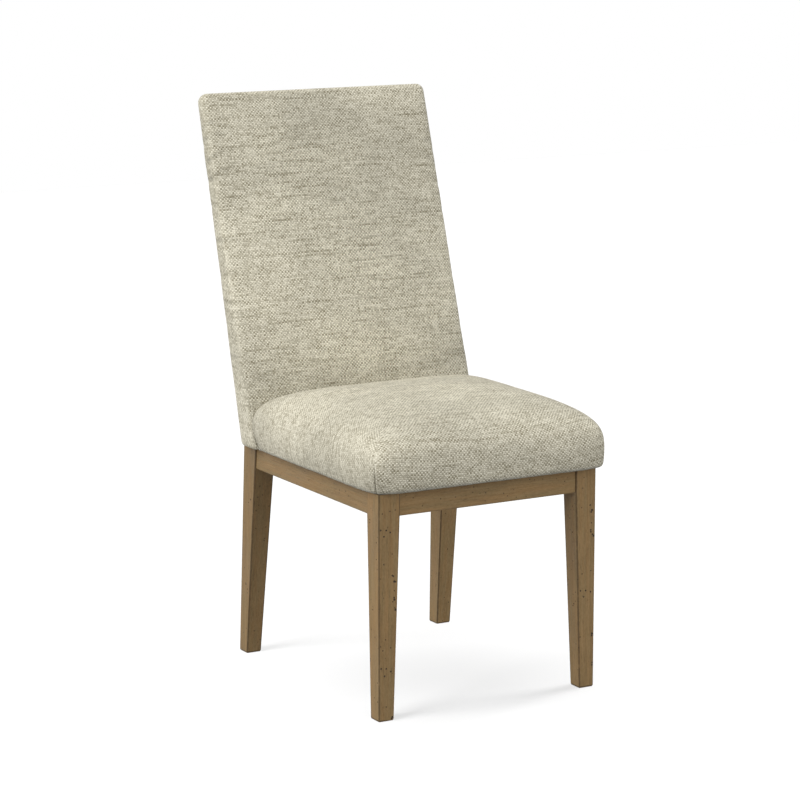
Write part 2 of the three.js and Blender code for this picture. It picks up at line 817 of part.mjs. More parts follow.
// The upholstered back drawn in by inset: a slab that leans, thins upwards and is rounded on its edges.
function backForm(inset) {
  const frontShift = inset / alongBack.y;
  const low = railTop + fit + inset;
  const lowFront = new THREE.Vector2(backFrontAt(low) + frontShift, low);
  const lowRear = new THREE.Vector2(backRearAt(low) - frontShift, low);
  const highFront = frontTopEdge
    .clone()
    .addScaledVector(alongBack, -inset)
    .addScaledVector(acrossBack, inset);
  const highRear = rearTopEdge
    .clone()
    .addScaledVector(alongBack, -inset)
    .addScaledVector(acrossBack, -inset);
  const length = highFront.distanceTo(lowFront);
  const hemRadius = backHemRadius - inset;
  const cornerRadius = backCornerRadius - inset;
  const ring = (along) => {
    const share = along / length;
    const front = lowFront.clone().lerp(highFront, share);
    const rear = lowRear.clone().lerp(highRear, share);
    const rearwards = rear.clone().sub(front).normalize();
    const hemShrink = roundOff(hemRadius, along);
    const shrink = hemShrink + roundOff(backEdgeRadius - inset, length - along);
    const sideShrink = hemShrink + roundOff(cornerRadius, length - along);
    front.addScaledVector(rearwards, shrink);
    const rearRadius = THREE.MathUtils.lerp(backRearHemRadius, backRearEdgeRadius, share);
    const outline = backOutline(
      backWidth / 2 - inset - sideShrink,
      rear.distanceTo(front) - shrink,
      Math.max(backEdgeRadius - inset - shrink, fit),
      Math.max(rearRadius - inset - shrink, fit),
      backCrown * (1 - (2 * share - 1) ** 4),
    );
    return outline.map(
      ([x, y]) => new THREE.Vector3(x, front.x + rearwards.x * y, front.y + rearwards.y * y),
    );
  };
  const rings = [];
  for (const share of backHemShares) {
    rings.push(ring(hemRadius * (1 - Math.cos((share * Math.PI) / 2))));
  }
  for (const share of backLengthShares) {
    rings.push(ring(THREE.MathUtils.lerp(hemRadius, length - cornerRadius, share)));
  }
  for (let k = 1; k <= cornerSteps; k += 1) {
    rings.push(ring(length - cornerRadius * (1 - Math.sin((Math.PI / 2) * (k / cornerSteps)))));
  }
  return loftBetween(rings);
}

// The region of the rear face that the outside back panel fills, less a margin.
function rearWindow(margin) {
  const across = backWidth / 2 - backSeamInset - margin;
  return sideBand(
    (height) => backRearAt(height) - coverThickness - waddingThickness,
    (height) => backRearAt(height) + overrun,
    [railTop + backSeamInset + margin, rearTopEdge.y - backSeamInset - margin],
    [-across, across],
  );
}

function postHoles() {
  const hole = sideBand(
    (height) => postFrontAt(height) - fit,
    (height) => postRearAt(height) + fit,
    [railTop - overrun, railTop + backHemRadius + fit],
    [rearLegInner - fit, halfBase + fit],
  );
  return [hole, hole.mirror([1, 0, 0])];
}

function backCover() {
  return cut(backForm(0), [backForm(coverThickness), rearWindow(0), ...postHoles()]);
}

function outsideBackPanel() {
  return cut(backForm(0), [backForm(coverThickness)]).intersect(rearWindow(fit));
}

function backFoam() {
  const room = sideBand(
    (height) => postFrontAt(height) - webbingZone - fit,
    (height) => backRearAt(height) + overrun,
    [railTop - overrun, postTop + fit],
    [-halfBase - fit, halfBase + fit],
  );
  return cut(backForm(coverThickness + fit), [room]);
}

function backWadding() {
  const front = (height) => postRearAt(height) + fit;
  const rear = (height) => front(height) + waddingThickness;
  const across = halfBase - backSeamInset;
  return sideBand(front, rear, [railTop + backHemRadius + fit, postTop], [-across, across]);
}

// Straps of the back, in a frame that leans with the front of the posts: x across, z up the posts.
function backWebbing() {
  const group = new THREE.Group();
  const lean = Math.atan2(postFrontAt(postTop) - postFrontAt(railTop), postTop - railTop);
  group.position.set(0, postFrontAt(railTop), railTop);
  group.rotation.x = -lean;
  const upPosts = (height) => (height - railTop) / Math.cos(lean);
  const lowEdge = upPosts(lowerRailSpan[1]);
  const highEdge = upPosts(topRailSpan[0]);
  const upPlaces = spread(lowEdge, highEdge);
  const acrossPlaces = spread(-rearLegInner, rearLegInner);
  const acrossEnd = rearLegInner + webbingHold;
  const half = webbingWidth / 2;
  acrossPlaces.forEach((place, k) => {
    const outline = strap([lowEdge - webbingHold, highEdge + webbingHold], upPlaces, k % 2 === 0);
    const solid = prism(
      outline.map(([z, rise]) => [-webbingLift - rise, z]),
      "x",
      [place - half, place + half],
    );
    group.add(piece(`back_webbing_upright_${k + 1}`, webbing, solid));
  });
  upPlaces.forEach((place, k) => {
    const outline = strap([-acrossEnd, acrossEnd], acrossPlaces, k % 2 !== 0);
    const solid = prism(
      outline.map(([x, rise]) => [x, -webbingLift - rise]),
      "z",
      [place - half, place + half],
    );
    group.add(piece(`back_webbing_crosswise_${k + 1}`, webbing, solid));
  });
  return group;
}

// One side of the chair, drawn on the right and mirrored for the left.
function sideOf(side) {
  const group = new THREE.Group();
  group.scale.x = side === "left" ? -1 : 1;
  group.add(
    piece(`front_leg_${side}`, wood, frontLeg()),
    piece(`rear_leg_${side}`, wood, rearLeg()),
    piece(`side_rail_${side}`, wood, sideRail()),
    piece(`seat_frame_side_${side}`, frameWood, frameSidePiece()),
  );
  glideSpots().forEach((spot, k) => {
    const foot = piece(`glide_${["front", "rear"][k]}_${side}`, nylon, glide());
    foot.position.copy(spot);
    group.add(foot);
  });
  for (const corner of Object.keys(corners)) {
    group.add(piece(`corner_block_${corner}_${side}`, frameWood, cornerBlock(corner)));
    for (const [target, place] of Object.entries(blockScrews(corner))) {
      group.add(placedScrew(`screw_${target}_${corner}_${side}`, place));
    }
  }
  return group;
}

const chair = new THREE.Group();
chair.add(
  sideOf("left"),
  sideOf("right"),
  piece("front_rail", wood, crossRail(0, "front")),
  piece("rear_rail", wood, crossRail(rearRailFront, "rear")),
  piece("seat_frame_front", frameWood, frameCrossPiece(frameCrossSpans.front)),
  piece("seat_frame_rear", frameWood, frameCrossPiece(frameCrossSpans.rear)),
  ...seatWebbing(),
  piece("seat_foam", foam, seatFoam()),
  piece("seat_cover", cloth, seatCover()),
  piece("seat_dust_cover", cambric, dustCover()),
  piece("back_top_rail", frameWood, backRail(topRailSpan)),
  piece("back_lower_rail", frameWood, backRail(lowerRailSpan)),
  backWebbing(),
  piece("back_foam", foam, backFoam()),
  piece("back_wadding", wadding, backWadding()),
  piece("back_cover", cloth, backCover()),
  piece("outside_back_panel", cloth, outsideBackPanel()),
);

// Bring the middle of the outline over the origin.
chair.updateMatrixWorld(true);
const outlineBox = new THREE.Box3().setFromObject(chair);
chair.position.y = -(outlineBox.min.y + outlineBox.max.y) / 2;

export default chair;
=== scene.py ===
"""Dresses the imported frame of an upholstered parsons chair: cushions, cloth, wood and stage."""

import math

import bmesh
import bpy
import numpy as np
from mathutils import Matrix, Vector, noise


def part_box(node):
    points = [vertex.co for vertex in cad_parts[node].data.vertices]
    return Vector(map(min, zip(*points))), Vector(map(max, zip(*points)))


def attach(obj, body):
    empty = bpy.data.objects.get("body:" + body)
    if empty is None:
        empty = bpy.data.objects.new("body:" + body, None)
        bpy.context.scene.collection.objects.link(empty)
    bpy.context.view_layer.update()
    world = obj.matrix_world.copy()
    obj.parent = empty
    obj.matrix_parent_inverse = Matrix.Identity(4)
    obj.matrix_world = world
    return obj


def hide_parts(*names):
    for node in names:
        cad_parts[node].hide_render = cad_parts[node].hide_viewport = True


bl_info = {
    "name": "Parsons Chair",
    "version": (1, 0, 0),
    "blender": (4, 5, 0),
    "location": "View3D > Sidebar > Parsons Chair",
    "description": "Upholsters and finishes a parsons chair on its wooden base",
    "category": "Object",
}

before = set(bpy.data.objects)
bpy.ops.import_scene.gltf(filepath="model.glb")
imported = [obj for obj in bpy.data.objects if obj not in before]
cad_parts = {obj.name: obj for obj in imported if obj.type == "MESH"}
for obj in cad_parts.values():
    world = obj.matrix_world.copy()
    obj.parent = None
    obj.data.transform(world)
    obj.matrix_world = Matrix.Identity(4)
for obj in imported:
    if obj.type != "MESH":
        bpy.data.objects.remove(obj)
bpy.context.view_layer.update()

# Places that the frame gives, in metres. The chair faces -Y.
seat_low, seat_high = (Vector(corner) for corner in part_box("seat_cover"))
back_low, back_high = (Vector(corner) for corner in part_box("back_cover"))
leg_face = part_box("front_leg_left")[0][1]
rail_bottom, rail_top = (corner[2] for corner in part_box("side_rail_left"))
leg_edge = -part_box("front_leg_left")[0][0]

# The legs' form.
leg_size = 0.0415
foot_size = 0.0295
rear_leg_front = 0.452
rear_foot_splay = 0.044

# The cushion's form: a nearly square hem, a widest line and an oval crown.
seat_middle = leg_face + 0.217
seat_wide_height = rail_top + 0.041
seat_crown = seat_high.z - seat_wide_height
seat_half_width = seat_high.x
seat_half_depth = seat_middle - seat_low.y
seat_hem_side_inset = 0.0036
seat_hem_front_inset = 0.0006
seat_hem_radius = 0.008
seat_flange = 0.025
side_power = 2.9
front_power = 2.05
hem_plan_power = 20.0
hem_edge_power = 12.0
crown_plan_power = 2.7
seat_room = 0.0005
seat_rows = 30
crown_corner = math.radians(37.0)

# The back's form: a leaning slab that thins upwards.
back_front = leg_face + 0.422
back_half_width = back_high.x
back_recline = math.radians(17.8)
back_slope = math.tan(back_recline)
back_length = 0.6614
back_depth = 0.0715
back_top_depth = 0.0285
back_edge_radius = 0.012
back_corner_radius = 0.017
back_rear_radius = 0.014
back_rear_hem_radius = 0.026
back_hem_radius = 0.006
back_crown = 0.0085
back_seam = 0.013
back_seam_run = back_seam * 1.06
rear_seam_top = back_high.z - 0.0186
arc_steps = 5
tuck_steps = 2

# The photograph's view.
camera_place = Vector((-2.568, leg_face - 4.1517, 1.4831))
camera_target = Vector((0.055, leg_face + 0.4043, 0.4667))
camera_lens = 130.98

# How the covers' cloth behaves while the filling pushes it out.
filling_frames = 20
cloth_settings = {
    "quality": 5,
    "mass": 0.3,
    "tension_stiffness": 40.0,
    "compression_stiffness": 40.0,
    "shear_stiffness": 15.0,
    "bending_stiffness": 2.0,
    "use_pressure": True,
}


# Shared helpers for meshes


def deselect():
    bpy.ops.object.select_all(action="DESELECT")


def activate(piece):
    deselect()
    piece.select_set(True)
    bpy.context.view_layer.objects.active = piece


def edit_all(piece, *steps):
    """Runs edit mode operators with their settings, each on the whole piece."""
    activate(piece)
    bpy.ops.object.mode_set(mode="EDIT")
    for operator, settings in steps:
        bpy.ops.mesh.select_all(action="SELECT")
        operator(**settings)
    bpy.ops.object.mode_set(mode="OBJECT")


def apply_modifier(piece, name, kind, **settings):
    """Adds a modifier with its settings and applies it."""
    activate(piece)
    modifier = piece.modifiers.new(name, kind)
    for key, value in settings.items():
        setattr(modifier, key, value)
    bpy.ops.object.modifier_apply(modifier=modifier.name)


def new_piece(name, mesh):
    piece = bpy.data.objects.new(name, mesh)
    bpy.context.scene.collection.objects.link(piece)
    return piece


def read_numbers(items, field, width):
    """Reads one field of many items, as rows of numbers."""
    numbers = np.empty(len(items) * width)
    items.foreach_get(field, numbers)
    return numbers.reshape(-1, width)


def get_points(piece):
    return read_numbers(piece.data.vertices, "co", 3)


def get_normals(piece):
    return read_numbers(piece.data.vertex_normals, "vector", 3)


def set_points(piece, points):
    piece.data.vertices.foreach_set("co", np.asarray(points).ravel())
    piece.data.update()


def hump(distance, width):
    """A smooth hump: one at no distance, and fading out over its width."""
    return np.exp(-((distance / width) ** 2))


def set_mask(piece, name, values):
    """Keeps a number from -1 to 1 at each point, for the materials to read."""
    mask = piece.data.attributes.new(name, "FLOAT", "POINT")
    mask.data.foreach_set("value", np.clip(values, -1.0, 1.0))


def patches_to_piece(name, patches):
    """Joins grids of points, each with its own place on the cloth, into one welded piece."""
    points = []
    faces = []
    places = []
    for grid, cloth in patches:
        ids = np.arange(grid.shape[0] * grid.shape[1]).reshape(grid.shape[:2]) + len(points)
        points.extend(grid.reshape(-1, 3).tolist())
        corners = [ids[:-1, :-1], ids[1:, :-1], ids[1:, 1:], ids[:-1, 1:]]
        spots = [cloth[:-1, :-1], cloth[1:, :-1], cloth[1:, 1:], cloth[:-1, 1:]]
        faces.extend(np.stack(corners, -1).reshape(-1, 4).tolist())
        places.append(np.stack(spots, 2).reshape(-1))
    mesh = bpy.data.meshes.new(name)
    mesh.from_pydata(points, [], faces)
    mesh.uv_layers.new(name="weave").data.foreach_set("uv", np.concatenate(places))
    piece = new_piece(name, mesh)
    edit_all(
        piece,
        (bpy.ops.mesh.remove_doubles, {"threshold": 0.00002}),
        (bpy.ops.mesh.normals_make_consistent, {"inside": False}),
    )
    return piece


def relax_weave(piece):
    """Flattens a cover's cloth with little stretch, cut only where its own weave map is cut."""
    mesh = piece.data
    drawn = read_numbers(mesh.uv_layers["weave"].data, "uv", 2)
    bm = bmesh.new()
    bm.from_mesh(mesh)
    layer = bm.loops.layers.uv["weave"]
    for edge in bm.edges:
        if len(edge.link_loops) != 2:
            continue
        first, second = edge.link_loops
        gap = (first[layer].uv - second.link_loop_next[layer].uv).length
        gap += (first.link_loop_next[layer].uv - second[layer].uv).length
        edge.seam = gap > 0.00005
    bm.to_mesh(mesh)
    bm.free()
    settings = {
        "method": "MINIMUM_STRETCH",
        "iterations": 12,
        "fill_holes": False,
        "correct_aspect": False,
        "margin": 0.0,
    }
    edit_all(piece, (bpy.ops.uv.unwrap, settings))
    uv = mesh.uv_layers["weave"].data
    flat = read_numbers(uv, "uv", 2)
    # The flattened map is turned and sized to lie over the middle of the drawn one.
    middle = np.linalg.norm(drawn, axis=1) < 0.12
    a = flat[middle] - flat[middle].mean(0)
    b = drawn[middle] - drawn[middle].mean(0)
    left, sizes, right = np.linalg.svd(a.T @ b)
    flip = np.diag([1.0, np.sign(np.linalg.det(left @ right))])
    turn = left @ flip @ right
    size = (sizes * np.diag(flip)).sum() / (a**2).sum()
    placed = (flat - flat[middle].mean(0)) @ turn * size + drawn[middle].mean(0)
    uv.foreach_set("uv", placed.ravel())


def run_length(grid, axis, start):
    """The length run along one way of a grid of points, counted from the line numbered start."""
    steps = np.linalg.norm(np.diff(grid, axis=axis), axis=-1)
    run = np.insert(np.cumsum(steps, axis=axis), 0, 0.0, axis=axis)
    return run - np.take(run, [start], axis=axis)


def copy_of_node(node, name, flatten=None):
    """A new piece from a CAD node's mesh, with its triangles merged into faces that are flat to an angle."""
    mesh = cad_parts[node].data.copy()
    mesh.materials.clear()
    mesh.name = name
    piece = new_piece(name, mesh)
    steps = [(bpy.ops.mesh.remove_doubles, {"threshold": 0.00001})]
    if flatten:
        steps.append((bpy.ops.mesh.dissolve_limited, {"angle_limit": flatten}))
    edit_all(piece, *steps)
    return piece


def smooth(piece, angle=35):
    activate(piece)
    bpy.ops.object.shade_smooth_by_angle(angle=math.radians(angle))


def smooth_all(piece):
    activate(piece)
    bpy.ops.object.shade_smooth()


def dress(piece, material, slot, *nodes):
    """Gives a finished piece its material and its body, and hides the CAD nodes that it stands for."""
    piece.data.materials.clear()
    piece.data.materials.append(material)
    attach(piece, "root")
    if nodes:
        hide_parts(*nodes)


def fill_out(piece, held, cushions):
    """Lets the filling's pressure push a slightly small cover out between the points that are held.

    No point ends further than the largest swell from the measured form that the cover had before.
    """
    scene = bpy.context.scene
    form = get_points(piece)
    free = 1 - np.clip(held, 0, 1)
    set_points(piece, form - get_normals(piece) * (cushions.slack * free)[:, None])
    group = piece.vertex_groups.new(name="held")
    for index, weight in enumerate(held):
        if weight > 0.01:
            group.add([index], float(min(weight, 1.0)), "REPLACE")
    cloth = piece.modifiers.new("Cloth", "CLOTH")
    for name, value in cloth_settings.items():
        setattr(cloth.settings, name, value)
    cloth.settings.uniform_pressure_force = cushions.pressure
    cloth.settings.effector_weights.gravity = 0.0
    cloth.settings.vertex_group_mass = group.name
    cloth.collision_settings.use_collision = False
    cloth.collision_settings.use_self_collision = False
    cloth.point_cache.frame_start = 1
    cloth.point_cache.frame_end = filling_frames
    for step in range(1, filling_frames + 1):
        scene.frame_set(step)
    activate(piece)
    bpy.ops.object.modifier_apply(modifier=cloth.name)
    scene.frame_set(1)
    move = get_points(piece) - form
    size = np.maximum(np.linalg.norm(move, axis=1, keepdims=True), 1e-9)
    set_points(piece, form + move / size * cushions.swell * np.tanh(size / cushions.swell))
    piece.vertex_groups.clear()


# Shared helpers for materials


def feed(tree, source, socket):
    if isinstance(source, bpy.types.NodeSocket):
        tree.links.new(source, socket)
    else:
        socket.default_value = source


def add_node(tree, kind, values=(), **settings):
    """Adds a node with its settings, and feeds its first sockets in their order."""
    node = tree.nodes.new(kind)
    for name, setting in settings.items():
        setattr(node, name, setting)
    for socket, value in zip(node.inputs, values):
        feed(tree, value, socket)
    return node


def calculate(tree, operation, *values, clamp=False):
    return add_node(tree, "ShaderNodeMath", values, operation=operation, use_clamp=clamp).outputs[0]


def calculate_vector(tree, operation, *values):
    return add_node(tree, "ShaderNodeVectorMath", values, operation=operation).outputs[0]


def times(tree, first, second):
    return calculate(tree, "MULTIPLY", first, second)


def add_share(tree, base, source, amount, clamp=False):
    """Adds so much of a pattern to a base."""
    return calculate(tree, "MULTIPLY_ADD", source, amount, base, clamp=clamp)


def vary(tree, base, source, amount, middle=0.5, clamp=False):
    """Adds so much of a pattern's swing about its middle to a base."""
    return add_share(tree, base, calculate(tree, "SUBTRACT", source, middle), amount, clamp)


def stretch(tree, vector, scale):
    return calculate_vector(tree, "MULTIPLY", vector, scale)


def combine(tree, x, y, z=0.0):
    return add_node(tree, "ShaderNodeCombineXYZ", (x, y, z)).outputs[0]


def speckle(tree, vector, scale, detail=2.0, distortion=0.0, output="Fac"):
    """A cloudy noise from 0 to 1."""
    node = add_node(tree, "ShaderNodeTexNoise", (vector,))
    node.inputs["Scale"].default_value = scale
    node.inputs["Detail"].default_value = detail
    node.inputs["Distortion"].default_value = distortion
    return node.outputs[output]


def spread(tree, value, low, high, to_low=0.0, to_high=1.0):
    """Carries a range of values smoothly over to another range."""
    values = (value, low, high, to_low, to_high)
    return add_node(tree, "ShaderNodeMapRange", values, interpolation_type="SMOOTHSTEP").outputs[0]


def blend_colours(tree, share, first, second, mode="MIX"):
    node = add_node(tree, "ShaderNodeMix", (share,), data_type="RGBA", blend_type=mode)
    feed(tree, first, node.inputs[6])
    feed(tree, second, node.inputs[7])
    return node.outputs[2]


def camera_seen(tree):
    """One for rays from the camera and for what gloss and glass show, and otherwise nought."""
    path = tree.nodes.new("ShaderNodeLightPath").outputs
    seen = calculate(tree, "MAXIMUM", path["Is Camera Ray"], path["Is Glossy Ray"])
    return calculate(tree, "MAXIMUM", seen, path["Is Transmission Ray"])


def new_group(name, inputs, outputs):
    """An empty shader node group with its named sockets."""
    tree = bpy.data.node_groups.new(name, "ShaderNodeTree")
    kinds = {"vector": "NodeSocketVector", "value": "NodeSocketFloat", "colour": "NodeSocketColor"}
    for label, kind, default in inputs:
        socket = tree.interface.new_socket(label, in_out="INPUT", socket_type=kinds[kind])
        if default is not None:
            socket.default_value = default
    for label, kind in outputs:
        tree.interface.new_socket(label, in_out="OUTPUT", socket_type=kinds[kind])
    return tree, tree.nodes.new("NodeGroupInput").outputs, tree.nodes.new("NodeGroupOutput").inputs


def place_group(tree, group, **values):
    node = tree.nodes.new("ShaderNodeGroup")
    node.node_tree = group
    for label, value in values.items():
        feed(tree, value, node.inputs[label.replace("_", " ")])
    return node.outputs


def new_material(name, roughness, specular=0.5):
    """A material with a plain shader, whose constants are set on the shader's own sockets."""
    material = bpy.data.materials.new(name)
    material.use_nodes = True
    tree = material.node_tree
    shader = next(node for node in tree.nodes if node.type == "BSDF_PRINCIPLED")
    shader.inputs["Roughness"].default_value = roughness
    shader.inputs["Specular IOR Level"].default_value = specular
    return material, tree, shader


def raise_surface(tree, shader, height, distance):
    relief = tree.nodes.new("ShaderNodeBump")
    relief.inputs["Strength"].default_value = 1.0
    relief.inputs["Distance"].default_value = distance
    feed(tree, height, relief.inputs["Height"])
    tree.links.new(relief.outputs["Normal"], shader.inputs["Normal"])


def object_place(tree, turn=(0.0, 0.0, 0.0)):
    """Object coordinates, turned so that a pattern's length runs along Z."""
    place = tree.nodes.new("ShaderNodeTexCoord")
    mapping = tree.nodes.new("ShaderNodeMapping")
    mapping.inputs["Rotation"].default_value = turn
    tree.links.new(place.outputs["Object"], mapping.inputs["Vector"])
    return mapping.outputs["Vector"]


def point_mask(tree, name):
    mask = tree.nodes.new("ShaderNodeAttribute")
    mask.attribute_name = name
    return mask.outputs["Fac"]


def weave_group():
    """Woven tweed: two crossing sets of slubbed yarns, from a place on the cloth in metres."""
    if "woven tweed" in bpy.data.node_groups:
        return bpy.data.node_groups["woven tweed"]
    tree, given, result = new_group(
        "woven tweed",
        [
            ("Place", "vector", None),
            ("Pitch", "value", 0.0033),
            ("Light Yarn", "colour", None),
            ("Dark Yarn", "colour", None),
            ("Contrast", "value", 1.0),
            ("Patchiness", "value", 1.0),
            ("Fold", "value", 0.0),
            ("Hem", "value", 0.0),
            ("Calm", "value", 0.0),
        ],
        [("Colour", "colour"), ("Height", "value"), ("Fuzz", "value")],
    )
    place = given["Place"]
    # The threads drift a little, and each is numbered.
    drift = speckle(tree, place, 28.0, 1.0, output="Color")
    drift = calculate_vector(tree, "SUBTRACT", drift, (0.5, 0.5, 0.5))
    drifted = calculate_vector(tree, "ADD", place, stretch(tree, drift, (0.0030, 0.0030, 0.0)))
    per_metre = calculate(tree, "DIVIDE", 1.0, given["Pitch"])
    threads = stretch(tree, drifted, combine(tree, per_metre, per_metre, per_metre))
    parts = add_node(tree, "ShaderNodeSeparateXYZ", (threads,))
    across, along = parts.outputs["X"], parts.outputs["Y"]
    warp, weft = calculate(tree, "FLOOR", across), calculate(tree, "FLOOR", along)
    # The yarns cross in a check of small arches, warp and weft on top by turns.
    waves = [calculate(tree, "SINE", times(tree, run, math.pi)) for run in (across, along)]
    wave = times(tree, *waves)
    arch = calculate(tree, "POWER", calculate(tree, "ABSOLUTE", wave), 0.7)
    sign = calculate(tree, "SIGN", wave)
    check = times(tree, arch, sign)
    chance = add_node(tree, "ShaderNodeTexWhiteNoise", (combine(tree, warp, weft),), noise_dimensions="2D")
    chance = chance.outputs["Value"]
    # Slubs run along each yarn, and longer streaks along the weft.
    weft_slub = speckle(tree, combine(tree, times(tree, across, 0.075), times(tree, weft, 3.7)), 1.0)
    warp_slub = speckle(tree, combine(tree, times(tree, warp, 5.3), times(tree, along, 0.16), 7.0), 1.0)
    yarn = tree.nodes.new("ShaderNodeMix")
    feed(tree, add_share(tree, 0.5, sign, 0.5), yarn.inputs[0])
    feed(tree, warp_slub, yarn.inputs[2])
    feed(tree, weft_slub, yarn.inputs[3])
    yarn = yarn.outputs[0]
    streak = speckle(tree, combine(tree, times(tree, across, 0.022), times(tree, weft, 1.37), 3.0), 1.0, 1.0)
    liveliness = add_share(tree, 1.0, given["Calm"], -0.55, clamp=True)
    clarity = speckle(tree, stretch(tree, place, (0.35, 1.4, 1.0)), 110.0, 1.0)
    clarity = times(tree, spread(tree, clarity, 0.32, 0.68, 0.5, 1.3), given["Contrast"])
    clarity = times(tree, clarity, liveliness)
    flecks = speckle(tree, stretch(tree, place, (0.75, 1.15, 1.0)), 540.0)
    tone = vary(tree, 0.60, yarn, 0.8)
    tone = vary(tree, tone, weft_slub, 0.45)
    tone = vary(tree, tone, chance, 0.48)
    # Yarn crowns lighter and the dips between them darker: painted light and shade on the weave's relief.
    tone = vary(tree, tone, arch, 0.22, middle=0.6)
    tone = vary(tree, tone, flecks, times(tree, liveliness, 1.15))
    tone = add_share(tree, tone, spread(tree, streak, 0.58, 0.70), -0.22)
    tone = add_share(tree, tone, spread(tree, streak, 0.40, 0.28), 0.12)
    tone = add_share(tree, tone, times(tree, check, clarity), 0.35, clamp=True)
    colour = blend_colours(tree, tone, given["Dark Yarn"], given["Light Yarn"])
    # Broad patches of tone at random, then painted shading: shade in folds, creases and towards the hem,
    # lighter and darker painted patches, and the sides a touch darker as painted shade.
    patch = speckle(tree, stretch(tree, place, (0.6, 1.0, 1.0)), 9.0, 2.0, 0.35)
    patch = vary(tree, 1.0, patch, times(tree, given["Patchiness"], 0.45))
    fold = add_share(tree, add_share(tree, 1.0, given["Fold"], -0.60), given["Calm"], -0.07)
    shade = times(tree, patch, fold)
    colour = blend_colours(tree, 1.0, colour, combine(tree, shade, shade, shade), "MULTIPLY")
    # The hem's pale bluish-grey rim is painted bounce light from the floor.
    colour = blend_colours(tree, given["Hem"], colour, (0.50, 0.51, 0.475, 1.0))
    height = add_share(tree, add_share(tree, arch, yarn, 0.5), chance, 0.25)
    feed(tree, colour, result["Colour"])
    feed(tree, times(tree, height, liveliness), result["Height"])
    feed(tree, speckle(tree, place, 900.0, 1.0), result["Fuzz"])
    return tree


def grain_group():
    """Open-pored wood: streaks, fibres, pores and small dark specks, with the grain along Z."""
    if "open wood grain" in bpy.data.node_groups:
        return bpy.data.node_groups["open wood grain"]
    tree, given, result = new_group(
        "open wood grain",
        [
            ("Place", "vector", None),
            ("Light Wood", "colour", None),
            ("Dark Wood", "colour", None),
            ("Edge", "value", 0.0),
            ("Edge Colour", "colour", None),
            ("Specks", "value", 1.0),
        ],
        [("Colour", "colour"), ("Height", "value"), ("Roughness", "value")],
    )
    place = given["Place"]

    def draw_out(squeeze, scale, detail=3.0, distortion=0.0):
        """A speckle that is drawn out along the grain."""
        return speckle(tree, stretch(tree, place, (1.0, 1.0, squeeze)), scale, detail, distortion)

    fibre = draw_out(0.025, 620.0)
    blotch = draw_out(0.35, 20.0)
    pore = spread(tree, draw_out(0.04, 1300.0, 1.0), 0.62, 0.72)
    tone = vary(tree, 0.5, draw_out(0.05, 95.0, 4.0, 0.6), 0.8)
    tone = vary(tree, tone, fibre, 1.3)
    tone = vary(tree, tone, draw_out(0.5, 420.0), 0.9)
    tone = vary(tree, tone, blotch, 0.7, clamp=True)
    colour = blend_colours(tree, tone, given["Dark Wood"], given["Light Wood"])
    hue = spread(tree, draw_out(0.07, 130.0, 2.0), 0.3, 0.7)
    tint = blend_colours(tree, hue, (1.035, 0.99, 0.95, 1.0), (0.96, 1.0, 1.02, 1.0))
    colour = blend_colours(tree, 1.0, colour, tint, "MULTIPLY")
    # Small dark specks, thick in some places and missing in others.
    dots = tree.nodes.new("ShaderNodeTexVoronoi")
    dots.inputs["Scale"].default_value = 92.0
    tree.links.new(place, dots.inputs["Vector"])
    dot = spread(tree, dots.outputs["Distance"], 0.09, 0.16, 1.0, 0.0)
    sparse = spread(tree, speckle(tree, place, 23.0, 1.0), 0.41, 0.48)
    dot = times(tree, times(tree, dot, sparse), given["Specks"])
    edge = spread(tree, vary(tree, given["Edge"], speckle(tree, place, 110.0, 3.0), 1.4), 0.25, 0.95)
    for mark, depth in ((pore, 0.35), (dot, 0.70), (edge, 0.70)):
        colour = blend_colours(tree, times(tree, mark, depth), colour, given["Edge Colour"])
    height = add_share(tree, times(tree, fibre, 0.5), pore, -0.8)
    height = add_share(tree, height, dot, -1.0)
    feed(tree, colour, result["Colour"])
    feed(tree, height, result["Height"])
    feed(tree, spread(tree, blotch, 0.2, 0.8, 0.42, 0.6), result["Roughness"])
    return tree


def tweed_material(name, contrast=1.0, patchiness=1.0, painted_lightness=1.0):
    """The chair's tweed on a piece that has its own weave map; a lightness above one paints that copy
    lighter, as painted light.
    """
    if name in bpy.data.materials:
        return bpy.data.materials[name]
    tweed = bpy.context.scene.parsons_tweed
    material, tree, shader = new_material(name, 0.92, tweed.gloss)
    shader.inputs["Sheen Weight"].default_value = tweed.sheen
    shader.inputs["Sheen Roughness"].default_value = 0.45
    cloth_map = tree.nodes.new("ShaderNodeUVMap")
    cloth_map.uv_map = "weave"
    out = place_group(
        tree,
        weave_group(),
        Place=cloth_map.outputs["UV"],
        Pitch=tweed.pitch,
        Light_Yarn=(*[level * painted_lightness for level in tweed.light_yarn], 1.0),
        Dark_Yarn=(*tweed.dark_yarn, 1.0),
        Contrast=contrast,
        Patchiness=patchiness,
        Fold=point_mask(tree, "fold"),
        Hem=point_mask(tree, "hem"),
        Calm=point_mask(tree, "calm"),
    )
    tree.links.new(out["Colour"], shader.inputs["Base Color"])
    tree.links.new(spread(tree, out["Fuzz"], 0.2, 0.8, 0.84, 1.0), shader.inputs["Roughness"])
    raise_surface(tree, shader, out["Height"], tweed.relief)
    return material


def wood_material(name, turn, light, dark, burnt, specks=1.0, gloss=0.2):
    if name in bpy.data.materials:
        return bpy.data.materials[name]
    material, tree, shader = new_material(name, 0.5, gloss)
    out = place_group(
        tree,
        grain_group(),
        Place=object_place(tree, turn),
        Light_Wood=(*light, 1.0),
        Dark_Wood=(*dark, 1.0),
        Edge=point_mask(tree, "edge"),
        Edge_Colour=(*burnt, 1.0),
        Specks=specks,
    )
    tree.links.new(out["Colour"], shader.inputs["Base Color"])
    tree.links.new(out["Roughness"], shader.inputs["Roughness"])
    raise_surface(tree, shader, out["Height"], 0.00025)
    return material


